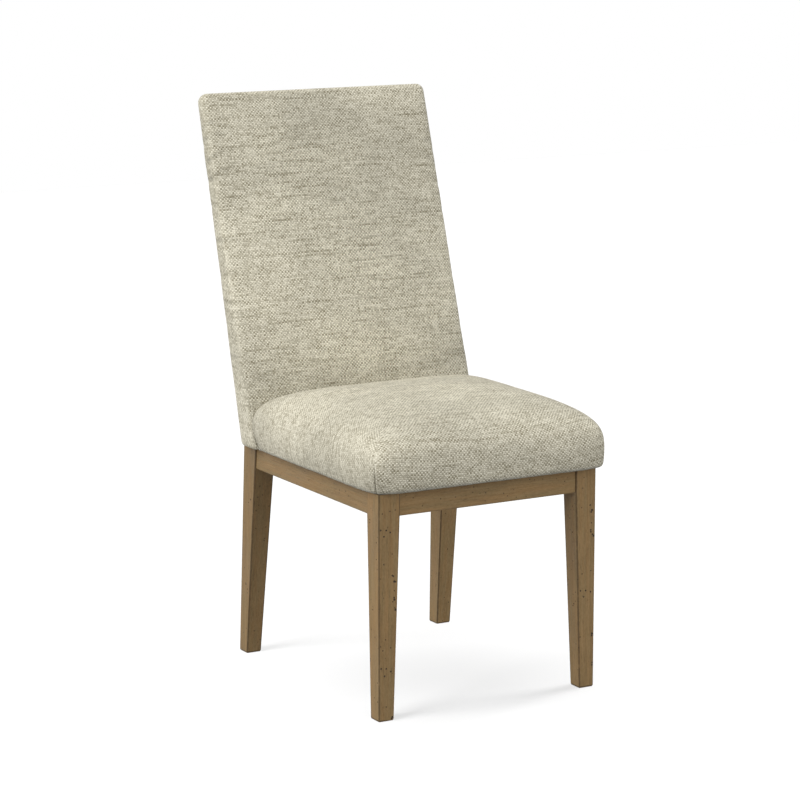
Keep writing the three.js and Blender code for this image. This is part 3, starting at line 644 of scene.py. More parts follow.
def plain_material(name, light, dark, scale, roughness, relief, metallic=0.0):
    """A rougher plain finish: mottled colour with a fine raised texture."""
    if name in bpy.data.materials:
        return bpy.data.materials[name]
    material, tree, shader = new_material(name, roughness)
    shader.inputs["Metallic"].default_value = metallic
    place = object_place(tree)
    mottle = speckle(tree, place, scale, 3.0)
    fine = speckle(tree, place, scale * 6.0, 2.0)
    colour = blend_colours(tree, spread(tree, mottle, 0.3, 0.7), (*dark, 1.0), (*light, 1.0))
    tree.links.new(colour, shader.inputs["Base Color"])
    rough = spread(tree, fine, 0.3, 0.7, roughness - 0.08, min(roughness + 0.08, 1.0))
    tree.links.new(rough, shader.inputs["Roughness"])
    raise_surface(tree, shader, fine, relief)
    return material


# The seat cushion's form


def seat_levels(angle):
    """Half width, half depth, plan power and height of the cushion at an angle above its widest line."""
    cosine = np.maximum(np.cos(angle), 1e-9)
    sine = np.sin(angle)
    return (
        seat_half_width * cosine ** (2 / side_power),
        seat_half_depth * cosine ** (2 / front_power),
        hem_plan_power + (crown_plan_power - hem_plan_power) * sine,
        seat_wide_height + seat_crown * np.maximum(sine, 0.0) ** (2 / side_power),
    )


def close_in(test, low, high):
    """Halves the gap round the place where a test turns from true to false."""
    for _ in range(48):
        middle = (low + high) / 2
        passed = test(middle)
        low = np.where(passed, middle, low)
        high = np.where(passed, high, middle)
    return (low + high) / 2


def seat_angle(x, y):
    """The angle whose level passes over a place in plan."""

    def inside(angle):
        width, depth, power, _height = seat_levels(angle)
        return (np.abs(x) / width) ** power + (np.abs(y - seat_middle) / depth) ** power < 1.0

    return close_in(inside, np.zeros_like(x), np.full_like(x, math.pi / 2))


def seat_limit(x, z, inset=0.0):
    """How far back the cushion may reach: the crowned front of the back, with a hair of room."""
    share = np.clip((z - back_low.z) / (back_length * math.cos(back_recline)), 0.0, 1.0)
    swell = back_crown * (1 - (2 * share - 1) ** 4) * np.clip(1 - (x / back_half_width) ** 2, 0.0, 1.0)
    return back_front + back_slope * (z - rail_top) - swell - seat_room - inset


def plan_radius(a, b, power):
    return (np.abs(a) ** power + np.abs(b) ** power) ** (-1 / power)


def rear_share(width, depth, power, height, inset):
    """Where a level's outline meets the back, on the side's run from -1 in front to 1 behind."""

    def ahead(share):
        radius = plan_radius(np.ones_like(share), share, power)
        return seat_middle + depth * share * radius < seat_limit(width * radius, height, inset)

    return close_in(ahead, np.zeros_like(height), np.ones_like(height))


def side_levels(top_angle, share, looseness=0.0):
    """Levels down a side: the shoulder, the swell below the widest line, the hem's turn and the flange.

    Looseness is 1 where the hem's corner is drawn round most softly.
    """
    low = seat_low.z
    t = np.asarray(share)
    angle = top_angle * np.clip(1 - t, 0, 1)
    width, depth, power, height = seat_levels(angle)
    down = np.clip(t - 1, 0, 1)
    swell = 1 - down**2
    below = t > 1
    width = np.where(below, seat_half_width - seat_hem_side_inset * (1 - swell), width)
    depth = np.where(below, seat_half_depth - seat_hem_front_inset * (1 - swell), depth)
    power = np.where(below, hem_plan_power + (hem_edge_power - hem_plan_power) * looseness * down, power)
    hem_top = low + seat_hem_radius
    height = np.where(below, hem_top + (seat_wide_height - hem_top) * (1 - down), height)
    turn = np.clip(t - 2, 0, 1) * math.pi / 2
    round_in = seat_hem_radius * (1 - np.cos(turn))
    flange = (seat_flange - seat_hem_radius) * np.clip(t - 3, 0, 1)
    inset = round_in + flange
    height = height - seat_hem_radius * np.sin(turn)
    return width - inset, depth - inset, power, height, inset


def even_rows(path, rows):
    """Where to cut a finely drawn path so that its rows are equally spaced."""
    fine = np.linspace(0.0, 4.0, 321)
    points = path(fine)
    run = np.insert(np.cumsum(np.linalg.norm(np.diff(points, axis=0), axis=1)), 0, 0.0)
    return np.interp(np.linspace(0.0, run[-1], rows + 1), run, fine)


def ease(t):
    t = np.clip(t, 0, 1)
    return t * t * (3 - 2 * t)


def crowded_line(half_length, step):
    """Places from -1 to 1, closer together towards both ends, where the corner pleats are."""
    ends = [0.0, 0.0010, 0.0019, 0.0028, 0.0037, 0.0050, 0.0070, 0.0100, 0.0140, 0.019]
    inner = half_length - 0.025
    count = 2 * round(inner / step)
    middle = np.linspace(-inner, inner, count + 1)
    near = np.array([half_length - end for end in reversed(ends)])
    return np.concatenate([-near[::-1], middle, near]) / half_length


def seat_patches(step, rows):
    """The cushion's top, front, two sides and rear, as grids of points with their cloth laid flat."""
    width, depth, power, _height = (float(value) for value in seat_levels(np.array(crown_corner)))
    reach = 2 ** (-1 / power)
    half_x, half_y = width * reach, depth * reach
    xs = crowded_line(half_x, step)
    front_run = crowded_line(half_y, step)
    front_run = (front_run[front_run <= 1e-9] + 1.0) / 2.0
    rear_count = round(half_y * 1.1 / step)
    ys = np.concatenate([front_run, 0.5 + 0.5 * np.linspace(0, 1, rear_count + 1)[1:]])
    line_x = xs * half_x

    def before_back(y):
        return y < seat_limit(line_x, seat_levels(seat_angle(line_x, y))[3])

    # The crease is where the crown meets the back.
    middle_line = np.full_like(xs, seat_middle)
    crease = close_in(before_back, middle_line, middle_line + seat_half_depth)
    grid_x = np.repeat(line_x[:, None], len(ys), axis=1)
    front_line = seat_middle - half_y
    grid_y = front_line + (crease[:, None] - front_line) * ys[None, :]
    angles = seat_angle(grid_x, grid_y)
    top = np.stack([grid_x, grid_y, seat_levels(angles)[3]], -1)
    middle_x, middle_y = len(xs) // 2, int(np.argmin(np.abs(ys - 0.5)))
    top_cloth = np.stack([run_length(top, 0, middle_x), run_length(top, 1, middle_y)], -1)

    def start_shares(i, j):
        w, d, _p, _h = seat_levels(angles[i, j])
        return grid_x[i, j] / w, (grid_y[i, j] - seat_middle) / d

    def front_path(i):
        a, b = start_shares(i, 0)

        def path(t):
            w, d, p, h, _inset = side_levels(angles[i, 0], t, (1 - xs[i]) / 2)
            share = (a / abs(b)) + (xs[i] - a / abs(b)) * ease(t)
            radius = plan_radius(share, np.ones_like(share), p)
            return np.stack([w * share * radius, seat_middle - d * radius, h], -1)

        return path

    def side_path(side, j):
        i = 0 if side < 0 else len(xs) - 1
        a, b = start_shares(i, j)
        looseness = (1 - side) / 2
        w, d, p, h, inset = side_levels(angles[i, j], np.zeros(1), looseness)
        first = (b / abs(a) + 1) / (float(rear_share(w, d, p, h, inset)[0]) + 1)

        def path(t):
            w, d, p, h, inset = side_levels(angles[i, j], t, looseness)
            run = first + (ys[j] - first) * ease(t)
            share = -1 + run * (1 + rear_share(w, d, p, h, inset))
            radius = plan_radius(np.ones_like(share), share, p)
            return np.stack([side * w * radius, seat_middle + d * share * radius, h], -1)

        return path

    patches = [(top, top_cloth)]
    front = []
    for i in range(len(xs)):
        path = front_path(i)
        front.append(path(even_rows(path, rows)))
    front = np.stack(front)
    down = run_length(front, 1, 0)
    cloth = np.stack([run_length(front, 0, middle_x), top_cloth[:, :1, 1] - down], -1)
    patches.append((front, cloth))
    for side, i in ((-1, 0), (1, len(xs) - 1)):
        columns = []
        for j in range(len(ys)):
            path = side_path(side, j)
            shares = even_rows(path, rows)
            columns.append(path(shares))
        flank = np.stack(columns)
        down = run_length(flank, 1, 0)
        cloth = np.stack([top_cloth[i, :, :1] + side * down, run_length(flank, 0, middle_y)], -1)
        patches.append((flank, cloth))
    # The rear lies against the back, between the two side corners.
    edge = patches[-1][0][-1]
    insets = side_levels(angles[-1, -1], shares)[4]
    low_z = seat_low.z
    fall = (edge[:, 2] - low_z) / (edge[0, 2] - low_z)
    rear_x = xs[:, None] * edge[None, :, 0]
    rear_z = low_z + (top[:, -1, 2] - low_z)[:, None] * fall[None, :]
    rear_y = seat_limit(rear_x, rear_z, insets[None, :])
    rear = np.stack([rear_x, rear_y, rear_z], -1)
    cloth = np.stack([run_length(rear, 0, middle_x), top_cloth[:, -1:, 1] + run_length(rear, 1, 0)], -1)
    patches.append((rear, cloth))
    return patches


def lumps(points, size, seed):
    """A slow seeded noise at each point, from -1 to 1."""
    offset = Vector((seed, seed * 1.7, seed * 0.3))
    return np.array([noise.noise(Vector(point) / size + offset) for point in points])


def shape_corner_pleats(piece, cushions):
    """Folds the spare cloth at both front corners into an upright pleat above the hem, and gives back where
    the grooves lie, for the shade painted in them.
    """
    points = get_points(piece)
    foot = seat_low.z
    reach = 2 ** (-1 / hem_plan_power)
    folds = np.zeros(len(points))
    for side in (-1, 1):
        line = np.array([side * seat_half_width * reach, seat_middle - seat_half_depth * reach])
        outward = np.array([side, -1.0]) / math.sqrt(2)
        along = np.array([1.0, side]) / math.sqrt(2)
        offset = points[:, :2] - line
        across = offset @ along * side - 0.0028
        near = (np.abs(offset @ outward) < 0.03) & (points[:, 2] > foot + 0.0005)
        rise = (points[:, 2] - foot) / cushions.pleat_height
        fade = np.clip(1 - rise, 0, 1) ** 0.6 * near
        lip = 1.5 * hump(across + 0.0032, 0.0020) + 0.6 * hump(across - 0.0048, 0.0034)
        push = fade * (cushions.pleat_lip * lip - cushions.pleat_depth * hump(across, 0.0009))
        # Where the grooves lie, for the painted shade in them.
        folds += fade * hump(across, 0.0012)
        points[:, :2] += push[:, None] * outward
    set_points(piece, points)
    return folds


def shade_seat(piece, folds):
    """Paints shade in the pleats, the crease and towards the hem, painted light on the flank and the top's
    rear, a hem of painted bounce light, and marks where the weave shows least, with the sides painted a touch
    darker.
    """
    points = get_points(piece)
    normals = get_normals(piece)
    x, y, z = points.T
    behind = seat_limit(x, z) - y
    # All painted: shade in the grooves, along the crease, on the lower sides towards the hem, under the
    # middle of the crown's front edge and at the left shoulder, and light on the left flank and the top's
    # rear.
    shade = 0.8 * folds + 0.35 * np.exp(-np.maximum(behind, 0.0) / 0.006)
    shade += 0.08 * hump(np.maximum(z - rail_top, 0.0), 0.020)
    shade += 0.13 * hump(x + 0.01, 0.07) * hump(z - 0.487, 0.022) * (y < -0.15)
    shade -= 0.11 * hump(y + 0.05, 0.12) * hump(z - 0.43, 0.04) * (x < -0.15)
    flat = np.clip(normals[:, 2] * 2 - 1, 0, 1)
    shade -= 0.14 * hump(behind, 0.11) * flat * np.clip(x / 0.06 + 1.5, 0, 1)
    shade += 0.26 * hump(behind, 0.030) * hump(x + 0.18, 0.06)
    set_mask(piece, "fold", shade)
    # The sides are painted a touch darker where the weave shows least.
    set_mask(piece, "calm", np.clip(np.abs(normals[:, 0]) * 2.5 - 1.4, 0, 1))
    # A pale bluish-grey rim on the lowest edge is painted bounce light from the floor.
    set_mask(piece, "hem", 0.55 * hump(z - seat_low.z - 0.001, 0.0028))


def pucker_hem(piece, cushions):
    """Draws the lower edge in at the staples and lets it bulge and dip a little between them."""
    points = get_points(piece)
    run = np.where(np.abs(points[:, 0]) > seat_half_width - 0.012, points[:, 1], points[:, 0])
    wave = 0.5 - 0.5 * np.cos(2 * math.pi * run / cushions.staple_spacing)
    height = points[:, 2] - seat_low.z
    outside = points[:, 1] < seat_limit(points[:, 0], points[:, 2]) - 0.012
    push = cushions.pucker * (wave - 0.4) + 0.0006 * lumps(points, 0.045, 3.0)
    points += get_normals(piece) * (push * hump(height - 0.012, 0.013) * outside)[:, None]
    # The hem hangs a touch lower round the front left corner.
    distance = np.linalg.norm(points[:, :2] - (-0.232, leg_face - 0.012), axis=1)
    height = points[:, 2] - seat_low.z
    points[:, 2] -= 0.0008 * hump(distance, 0.035) * hump(height, 0.03) * (height > 0.0003)
    set_points(piece, points)


def wall_and_round(piece, thickness):
    """Gives a cover its cloth's thickness and one smoothing subdivision."""
    apply_modifier(piece, "Cloth Wall", "SOLIDIFY", thickness=thickness, offset=-1.0, use_even_offset=False)
    apply_modifier(
        piece, "Round Off", "SUBSURF", levels=1, render_levels=1, uv_smooth="NONE", use_limit_surface=False
    )
    smooth_all(piece)


# The back's form


def round_off(radius, from_end):
    within = max(radius - from_end, 0.0)
    return radius - math.sqrt(max(radius**2 - within**2, 0.0))


def back_outline(half, depth, front_radius, rear_radius, swell, steps):
    """A closed outline on one sloping level, from the middle of the front face round by the right side."""
    share = np.linspace(0.0, 1.0, steps + 1)
    flat = half - front_radius
    front = np.stack([flat * share, -swell * (1 - share**2)], 1)
    turn = np.radians(np.linspace(-90, 0, arc_steps + 1)[1:])
    front_arc = np.stack([flat + front_radius * np.cos(turn), front_radius * (1 + np.sin(turn))], 1)
    rise = np.linspace(0, 1, arc_steps + 1)[1:, None]
    side = np.array([[half, front_radius]]) * (1 - rise) + np.array([[half, depth - rear_radius]]) * rise
    seam = math.acos(min(max((rear_radius - back_seam) / rear_radius, 0.0), 1.0))
    tuck = np.linspace(seam, math.pi / 2, tuck_steps + 1)[1:]
    turn = np.concatenate([np.linspace(0, seam, arc_steps + 1)[1:], tuck])
    centre = half - rear_radius
    rear_arc = np.stack([centre + rear_radius * np.cos(turn), depth - rear_radius * (1 - np.sin(turn))], 1)
    share = np.linspace(1.0, 0.0, steps + 1)[1:]
    rear = np.stack([centre * share, np.full_like(share, depth)], 1)
    right = np.concatenate([front, front_arc, side, rear_arc, rear])
    left = right[::-1][1:-1] * np.array([-1.0, 1.0])
    return np.concatenate([right, left])


def back_rows(step):
    """Distances up the slope at which the outline is drawn."""
    hem = [back_hem_radius * (1 - math.cos(angle)) for angle in np.radians([0, 30, 60, 90])]
    high_seam = back_length - back_seam_run
    start, end = 0.022, back_length - back_corner_radius
    body = list(np.linspace(start, end, round((end - start) / step) + 1))
    turns = np.radians([12, 23, 33, 43, 53, 63, 72, 81, 90])
    top = [back_length - back_corner_radius * (1 - math.sin(angle)) for angle in turns]
    rows = hem + [back_seam_run] + body + top
    nearest = min(range(len(rows)), key=lambda k: abs(rows[k] - high_seam))
    rows[nearest] = high_seam
    return rows


def back_ring(along, steps):
    share = along / back_length
    cosine, sine = math.cos(back_recline), math.sin(back_recline)
    foot = Vector((back_front + back_slope * (back_low.z - rail_top), back_low.z))
    front = foot + Vector((sine, cosine)) * along
    foot_rear = Vector((foot.x + back_depth, back_low.z))
    head = foot + Vector((sine, cosine)) * back_length
    head_rear = head + Vector((cosine, -sine)) * back_top_depth
    rear = foot_rear.lerp(head_rear, share)
    rearwards = (rear - front).normalized()
    hem_shrink = round_off(back_hem_radius, along)
    shrink = hem_shrink + round_off(back_edge_radius, back_length - along)
    side_shrink = hem_shrink + round_off(back_corner_radius, back_length - along)
    front = front + rearwards * shrink
    rear_radius = back_rear_hem_radius + (back_rear_radius - back_rear_hem_radius) * share
    outline = back_outline(
        back_half_width - side_shrink,
        (rear - front).length - shrink,
        max(back_edge_radius - shrink, 0.0005),
        max(rear_radius - shrink, 0.0005),
        back_crown * (1 - (2 * share - 1) ** 4),
        steps,
    )
    y = front.x + rearwards.x * outline[:, 1]
    z = front.y + rearwards.y * outline[:, 1]
    return np.stack([outline[:, 0], y, z], 1)


def back_cap(ring, steps, sides):
    """Closes an end of the back with a grid of its own, between the outline's front, sides and rear."""
    count = len(ring)
    front = np.concatenate([ring[-steps:], ring[: steps + 1]])
    right = ring[steps : steps + sides + 1]
    rear_start = steps + sides
    rear = ring[rear_start : rear_start + 2 * steps + 1][::-1]
    left = ring[count - steps - sides : count - steps + 1][::-1]
    u = np.linspace(0, 1, 2 * steps + 1)[:, None, None]
    v = np.linspace(0, 1, sides + 1)[None, :, None]
    grid = (1 - v) * front[:, None] + v * rear[:, None] + (1 - u) * left[None] + u * right[None]
    grid -= (1 - u) * (1 - v) * front[0] + u * (1 - v) * front[-1] + (1 - u) * v * rear[0] + u * v * rear[-1]
    cloth = np.stack([run_length(grid, 0, steps), run_length(grid, 1, 0)], -1)
    return grid, cloth


def back_patches(step):
    """The cover's body, head and foot, as grids of points with their cloth laid flat."""
    steps = round(back_half_width / step)
    sides = 3 * arc_steps + tuck_steps
    rings = np.stack([back_ring(along, steps) for along in back_rows(step)], 1)
    # The body runs from the middle of the rear round the front and back again.
    start = steps + sides + steps
    loop = np.concatenate([rings[start:], rings[: start + 1]])
    middle = len(rings) - start
    cloth = np.stack([run_length(loop, 0, middle), run_length(loop, 1, 0)], -1)
    head, head_cloth = back_cap(rings[:, -1], steps, sides)
    head_cloth[..., 1] += cloth[middle, -1, 1]
    foot, foot_cloth = back_cap(rings[:, 0], steps, sides)
    return [(loop, cloth), (head, head_cloth), (foot, foot_cloth)]


def open_rear(piece):
    """Opens the cover's rear inside the seam, and tucks its edge in under the outside panel."""
    low = back_low.z + back_seam
    bm = bmesh.new()
    bm.from_mesh(piece.data)
    bm.faces.ensure_lookup_table()
    rearwards = Vector((0.0, math.cos(back_recline * 0.9), -math.sin(back_recline * 0.9)))
    inside = []
    for face in bm.faces:
        centre = face.calc_center_median()
        if face.normal.dot(rearwards) < 0.35 or abs(centre.x) > back_half_width - back_seam + 0.0004:
            continue
        if low - 0.0002 < centre.z < rear_seam_top:
            inside.append(face)
    bmesh.ops.delete(bm, geom=inside, context="FACES")
    rim = [edge for edge in bm.edges if edge.is_boundary]
    for depth, inward in ((0.0035, 0.0008), (0.0, 0.009)):
        new = bmesh.ops.extrude_edge_only(bm, edges=rim)
        points = [item for item in new["geom"] if isinstance(item, bmesh.types.BMVert)]
        rim = [item for item in new["geom"] if isinstance(item, bmesh.types.BMEdge) and item.is_boundary]
        for point in points:
            at_side = abs(point.co.x) > back_half_width - back_seam - 0.004
            at_foot = point.co.z < low + 0.012
            at_head = point.co.z > rear_seam_top - 0.012
            point.co -= rearwards * depth
            if at_side:
                point.co.x -= math.copysign(inward, point.co.x)
            if at_foot:
                point.co.z += inward
            if at_head:
                point.co.z -= inward
    bmesh.ops.recalc_face_normals(bm, faces=bm.faces)
    bm.to_mesh(piece.data)
    bm.free()


# The wear of the wooden base

small_hole = 0.0013
usual_hole = 0.0018
nick = 0.0024
# Worm holes and nicks by leg: the face, the radius, and each place's distance across and height in mm.
worm_holes = {
    "front_leg_left": [
        ("front", usual_hole, [(3.6, 336.7), (14.5, 335.3), (22.3, 331.0), (9.8, 325.1), (4.3, 94.7)]),
        ("front", usual_hole, [(14.3, 93.3), (23.1, 87.4), (11.1, 80.7), (26.2, 255.6), (28.0, 254.1)]),
        ("front", usual_hole, [(32.6, 243.8), (29.7, 216.6), (24.6, 3.6)]),
        ("front", nick, [(30.0, 244.6), (30.4, 212.8), (32.4, 195.0), (26.2, 6.0)]),
        ("front", small_hole, [(30.1, 228.5), (26.9, 209.6), (31.0, 198.5), (12.8, 144.7), (22.7, 129.2)]),
        ("front", small_hole, [(7.4, 126.1), (9.8, 277.0), (14.2, 25.9), (6.8, 364.6), (21.7, 367.5)]),
        ("side", small_hole, [(30.7, 349.6), (30.7, 344.4), (29.5, 105.7), (29.6, 102.1), (8.4, 314.2)]),
        ("side", small_hole, [(8.5, 284.6), (34.8, 269.3), (21.2, 194.2), (5.3, 69.2), (5.4, 35.5)]),
    ],
    "front_leg_right": [
        ("front", usual_hole, [(11.4, 331.9), (9.0, 319.0), (9.8, 287.0), (9.4, 283.5), (5.8, 278.5)]),
        ("front", usual_hole, [(29.8, 178.8), (18.8, 178.0), (8.5, 174.4), (22.8, 167.1), (4.8, 94.0)]),
        ("front", usual_hole, [(3.2, 44.0), (3.6, 40.0)]),
        ("front", nick, [(7.4, 322.4), (3.6, 275.6), (4.3, 97.5)]),
        ("front", small_hole, [(8.0, 299.5), (8.5, 212.9), (26.7, 209.3)]),
        ("inner", small_hole, [(12.0, 330.5), (13.6, 283.5), (14.0, 230.9), (16.0, 149.0)]),
        ("inner", usual_hole, [(13.0, 153.0)]),
        ("side", usual_hole, [(10.0, 286.0), (24.0, 121.0)]),
        ("side", small_hole, [(18.0, 279.0)]),
    ],
    "rear_leg_left": [
        ("side", usual_hole, [(12.0, 296.0), (16.0, 132.0)]),
        ("side", small_hole, [(20.0, 289.0), (9.0, 124.0)]),
    ],
    "rear_leg_right": [
        ("side", usual_hole, [(14.0, 308.0), (11.0, 156.0)]),
        ("side", small_hole, [(22.0, 299.0)]),
    ],
}
# Faces of at least this area, in square metres, are the long sides of a leg or rail.
broad_face = 0.0012


def hole_place(node, face, across, height, size):
    """The centre of a hole's drill, just outside the face of a leg."""
    across, height = across / 1000, height / 1000
    out = size * 0.3
    sign = -1 if node.endswith("left") else 1
    if face == "front":
        return (sign * (leg_edge - across), leg_face - out, height)
    depth = leg_face + across
    if node.startswith("rear"):
        depth += rear_leg_front + rear_foot_splay * (1 - height / rail_top)
    if face == "side":
        return (sign * (leg_edge + out), depth, height)
    width = foot_size + (leg_size - foot_size) * min(height / rail_bottom, 1.0)
    return (sign * (leg_edge - width - out), depth, height)


def hole_material():
    return plain_material("dark worm hole", (0.085, 0.056, 0.030), (0.050, 0.032, 0.018), 900.0, 0.85, 0.0001)


# Operators


class TweedSettings(bpy.types.PropertyGroup):
    """The tweed's threads and colours."""

    pitch: bpy.props.FloatProperty(
        name="Thread Pitch", description="Distance between neighbouring yarns",
        default=0.0033, unit="LENGTH",
    )
    light_yarn: bpy.props.FloatVectorProperty(
        name="Light Yarn", description="Colour of the cream yarn",
        default=(0.90, 0.855, 0.70), subtype="COLOR",
    )
    dark_yarn: bpy.props.FloatVectorProperty(
        name="Dark Yarn", description="Colour of the olive yarn and the gaps",
        default=(0.31, 0.275, 0.185), subtype="COLOR",
    )
    relief: bpy.props.FloatProperty(
        name="Relief", description="Height of the yarns",
        default=0.0007, unit="LENGTH",
    )
    sheen: bpy.props.FloatProperty(
        name="Sheen", description="Soft light at grazing angles",
        default=0.08, subtype="FACTOR",
    )
    gloss: bpy.props.FloatProperty(
        name="Gloss", description="Strength of the cloth's highlights",
        default=0.15, subtype="FACTOR",
    )


class WoodSettings(bpy.types.PropertyGroup):
    """The stained wood's colours and its wear."""

    light: bpy.props.FloatVectorProperty(
        name="Light Wood", description="Stained wood between the streaks",
        default=(0.355, 0.232, 0.108), subtype="COLOR",
    )
    dark: bpy.props.FloatVectorProperty(
        name="Dark Wood", description="Streaks of the stained wood",
        default=(0.215, 0.138, 0.058), subtype="COLOR",
    )
    burnt: bpy.props.FloatVectorProperty(
        name="Burnished Edge", description="Worn dark corners and pits",
        default=(0.062, 0.040, 0.020), subtype="COLOR",
    )
    setback: bpy.props.FloatProperty(
        name="Rail Setback", description="How far the rails stand behind the legs' faces",
        default=0.0025, unit="LENGTH",
    )
    foot_drop: bpy.props.FloatProperty(
        name="Lower Edge Drop", description="Wood left below the planed size of feet and rails",
        default=0.0008, unit="LENGTH",
    )
    edge_width: bpy.props.FloatProperty(
        name="Edge Width", description="Width of the burnished corners",
        default=0.0022, unit="LENGTH",
    )


class CushionSettings(bpy.types.PropertyGroup):
    """The sizes of the covers' cloth, filling, pleats and hem."""

    cell: bpy.props.FloatProperty(
        name="Mesh Cell", description="Spacing of a cushion's mesh before it is smoothed",
        default=0.0068, unit="LENGTH",
    )
    cloth: bpy.props.FloatProperty(
        name="Cloth Thickness", description="Thickness of the tweed",
        default=0.0018, unit="LENGTH",
    )
    slack: bpy.props.FloatProperty(
        name="Slack", description="How much smaller a cover starts before it is filled",
        default=0.0006, unit="LENGTH",
    )
    swell: bpy.props.FloatProperty(
        name="Largest Swell", description="Most that the filling may move the cover",
        default=0.0010, unit="LENGTH",
    )
    pressure: bpy.props.FloatProperty(
        name="Filling Pressure", description="How hard the filling pushes the covers out",
        default=1.5,
    )
    pleat_height: bpy.props.FloatProperty(
        name="Pleat Height", description="Height of the corner pleats",
        default=0.052, unit="LENGTH",
    )
    pleat_depth: bpy.props.FloatProperty(
        name="Pleat Depth", description="Depth of the corner pleats",
        default=0.0046, unit="LENGTH",
    )
    pleat_lip: bpy.props.FloatProperty(
        name="Pleat Lip", description="Puff beside the corner pleats",
        default=0.0011, unit="LENGTH",
    )
    staple_spacing: bpy.props.FloatProperty(
        name="Staple Spacing", description="Distance between staples under the hem",
        default=0.034, unit="LENGTH",
    )
    pucker: bpy.props.FloatProperty(
        name="Pucker", description="Waviness of the hem between staples",
        default=0.0007, unit="LENGTH",
    )


class StageSettings(bpy.types.PropertyGroup):
    """The strength of the lights and the look of the floor."""

    key: bpy.props.FloatProperty(
        name="Key Light", description="Strength of the soft key light",
        default=2.50,
    )
    fill: bpy.props.FloatProperty(
        name="Fill Light", description="Strength of the soft light from the front",
        default=1.03,
    )
    overhead: bpy.props.FloatProperty(
        name="Floor Light", description="Strength of the light on the floor",
        default=2.35,
    )
    low_light: bpy.props.FloatProperty(
        name="Low Floor Light", description="Strength of the low lights that give the feet their shadows",
        default=6.2,
    )
    ambient: bpy.props.FloatProperty(
        name="Ambient", description="Strength of the light from all round",
        default=0.36, subtype="FACTOR",
    )
    floor_shadow: bpy.props.FloatProperty(
        name="Floor Shadow", description="How much of the floor's shadow the camera sees",
        default=0.25, subtype="FACTOR",
    )
    floor_white: bpy.props.FloatProperty(
        name="Floor White", description="Strength of the white that the camera sees",
        default=0.57,
    )
    floor_bounce: bpy.props.FloatVectorProperty(
        name="Floor Bounce", description="Colour that the floor shows to the chair",
        default=(0.085, 0.085, 0.085), subtype="COLOR",
    )


class PARSONS_OT_seat_cushion(bpy.types.Operator):
    """Makes the tweed cover of the seat, filled out over its foam."""

    bl_idname = "parsons.seat_cushion"
    bl_label = "Seat Cushion"

    def execute(self, context):
        cushions = context.scene.parsons_cushions
        piece = patches_to_piece("seat_cushion_cover", seat_patches(cushions.cell, seat_rows))
        relax_weave(piece)
        x, y, z = get_points(piece).T
        before_back = seat_limit(x, z) - y
        held = (z < seat_low.z + 0.0012) | (before_back < 0.0025)
        near_back = np.clip(1 - before_back / 0.03, 0, 1)
        fill_out(piece, np.where(held, 1.0, near_back * 0.6), cushions)
        folds = shape_corner_pleats(piece, cushions)
        shade_seat(piece, folds)
        pucker_hem(piece, cushions)
        wall_and_round(piece, cushions.cloth)
        dress(piece, tweed_material("seat tweed", 1.18), "tweed_cloth", "seat_cover")
        return {"FINISHED"}


# Pulls in the back's cloth, drawn dark with painted shade: the height at the rear edge, the rise inwards and
# the strength.
shaded_pulls = [
    (0.955, 0.30, 0.8),
    (0.938, 0.22, 1.0),
    (0.889, 0.45, 1.0),
    (0.860, 0.40, 0.8),
    (0.762, 0.10, 0.5),
    (0.655, 0.08, 0.5),
    (0.560, 0.06, 0.6),
]
# Pulls that dent the side bands: the height and the share of the full depth.
side_pulls = [(0.930, 0.9), (0.868, 1.0), (0.822, 1.0), (0.760, 0.5), (0.700, 0.6), (0.610, 0.4)]
# The pulls on the right sit this much lower than those on the left.
pull_sides = [(-1, 0.0), (1, 0.031)]
# The outside panel ends this far inside the seam.
panel_room = 0.0008


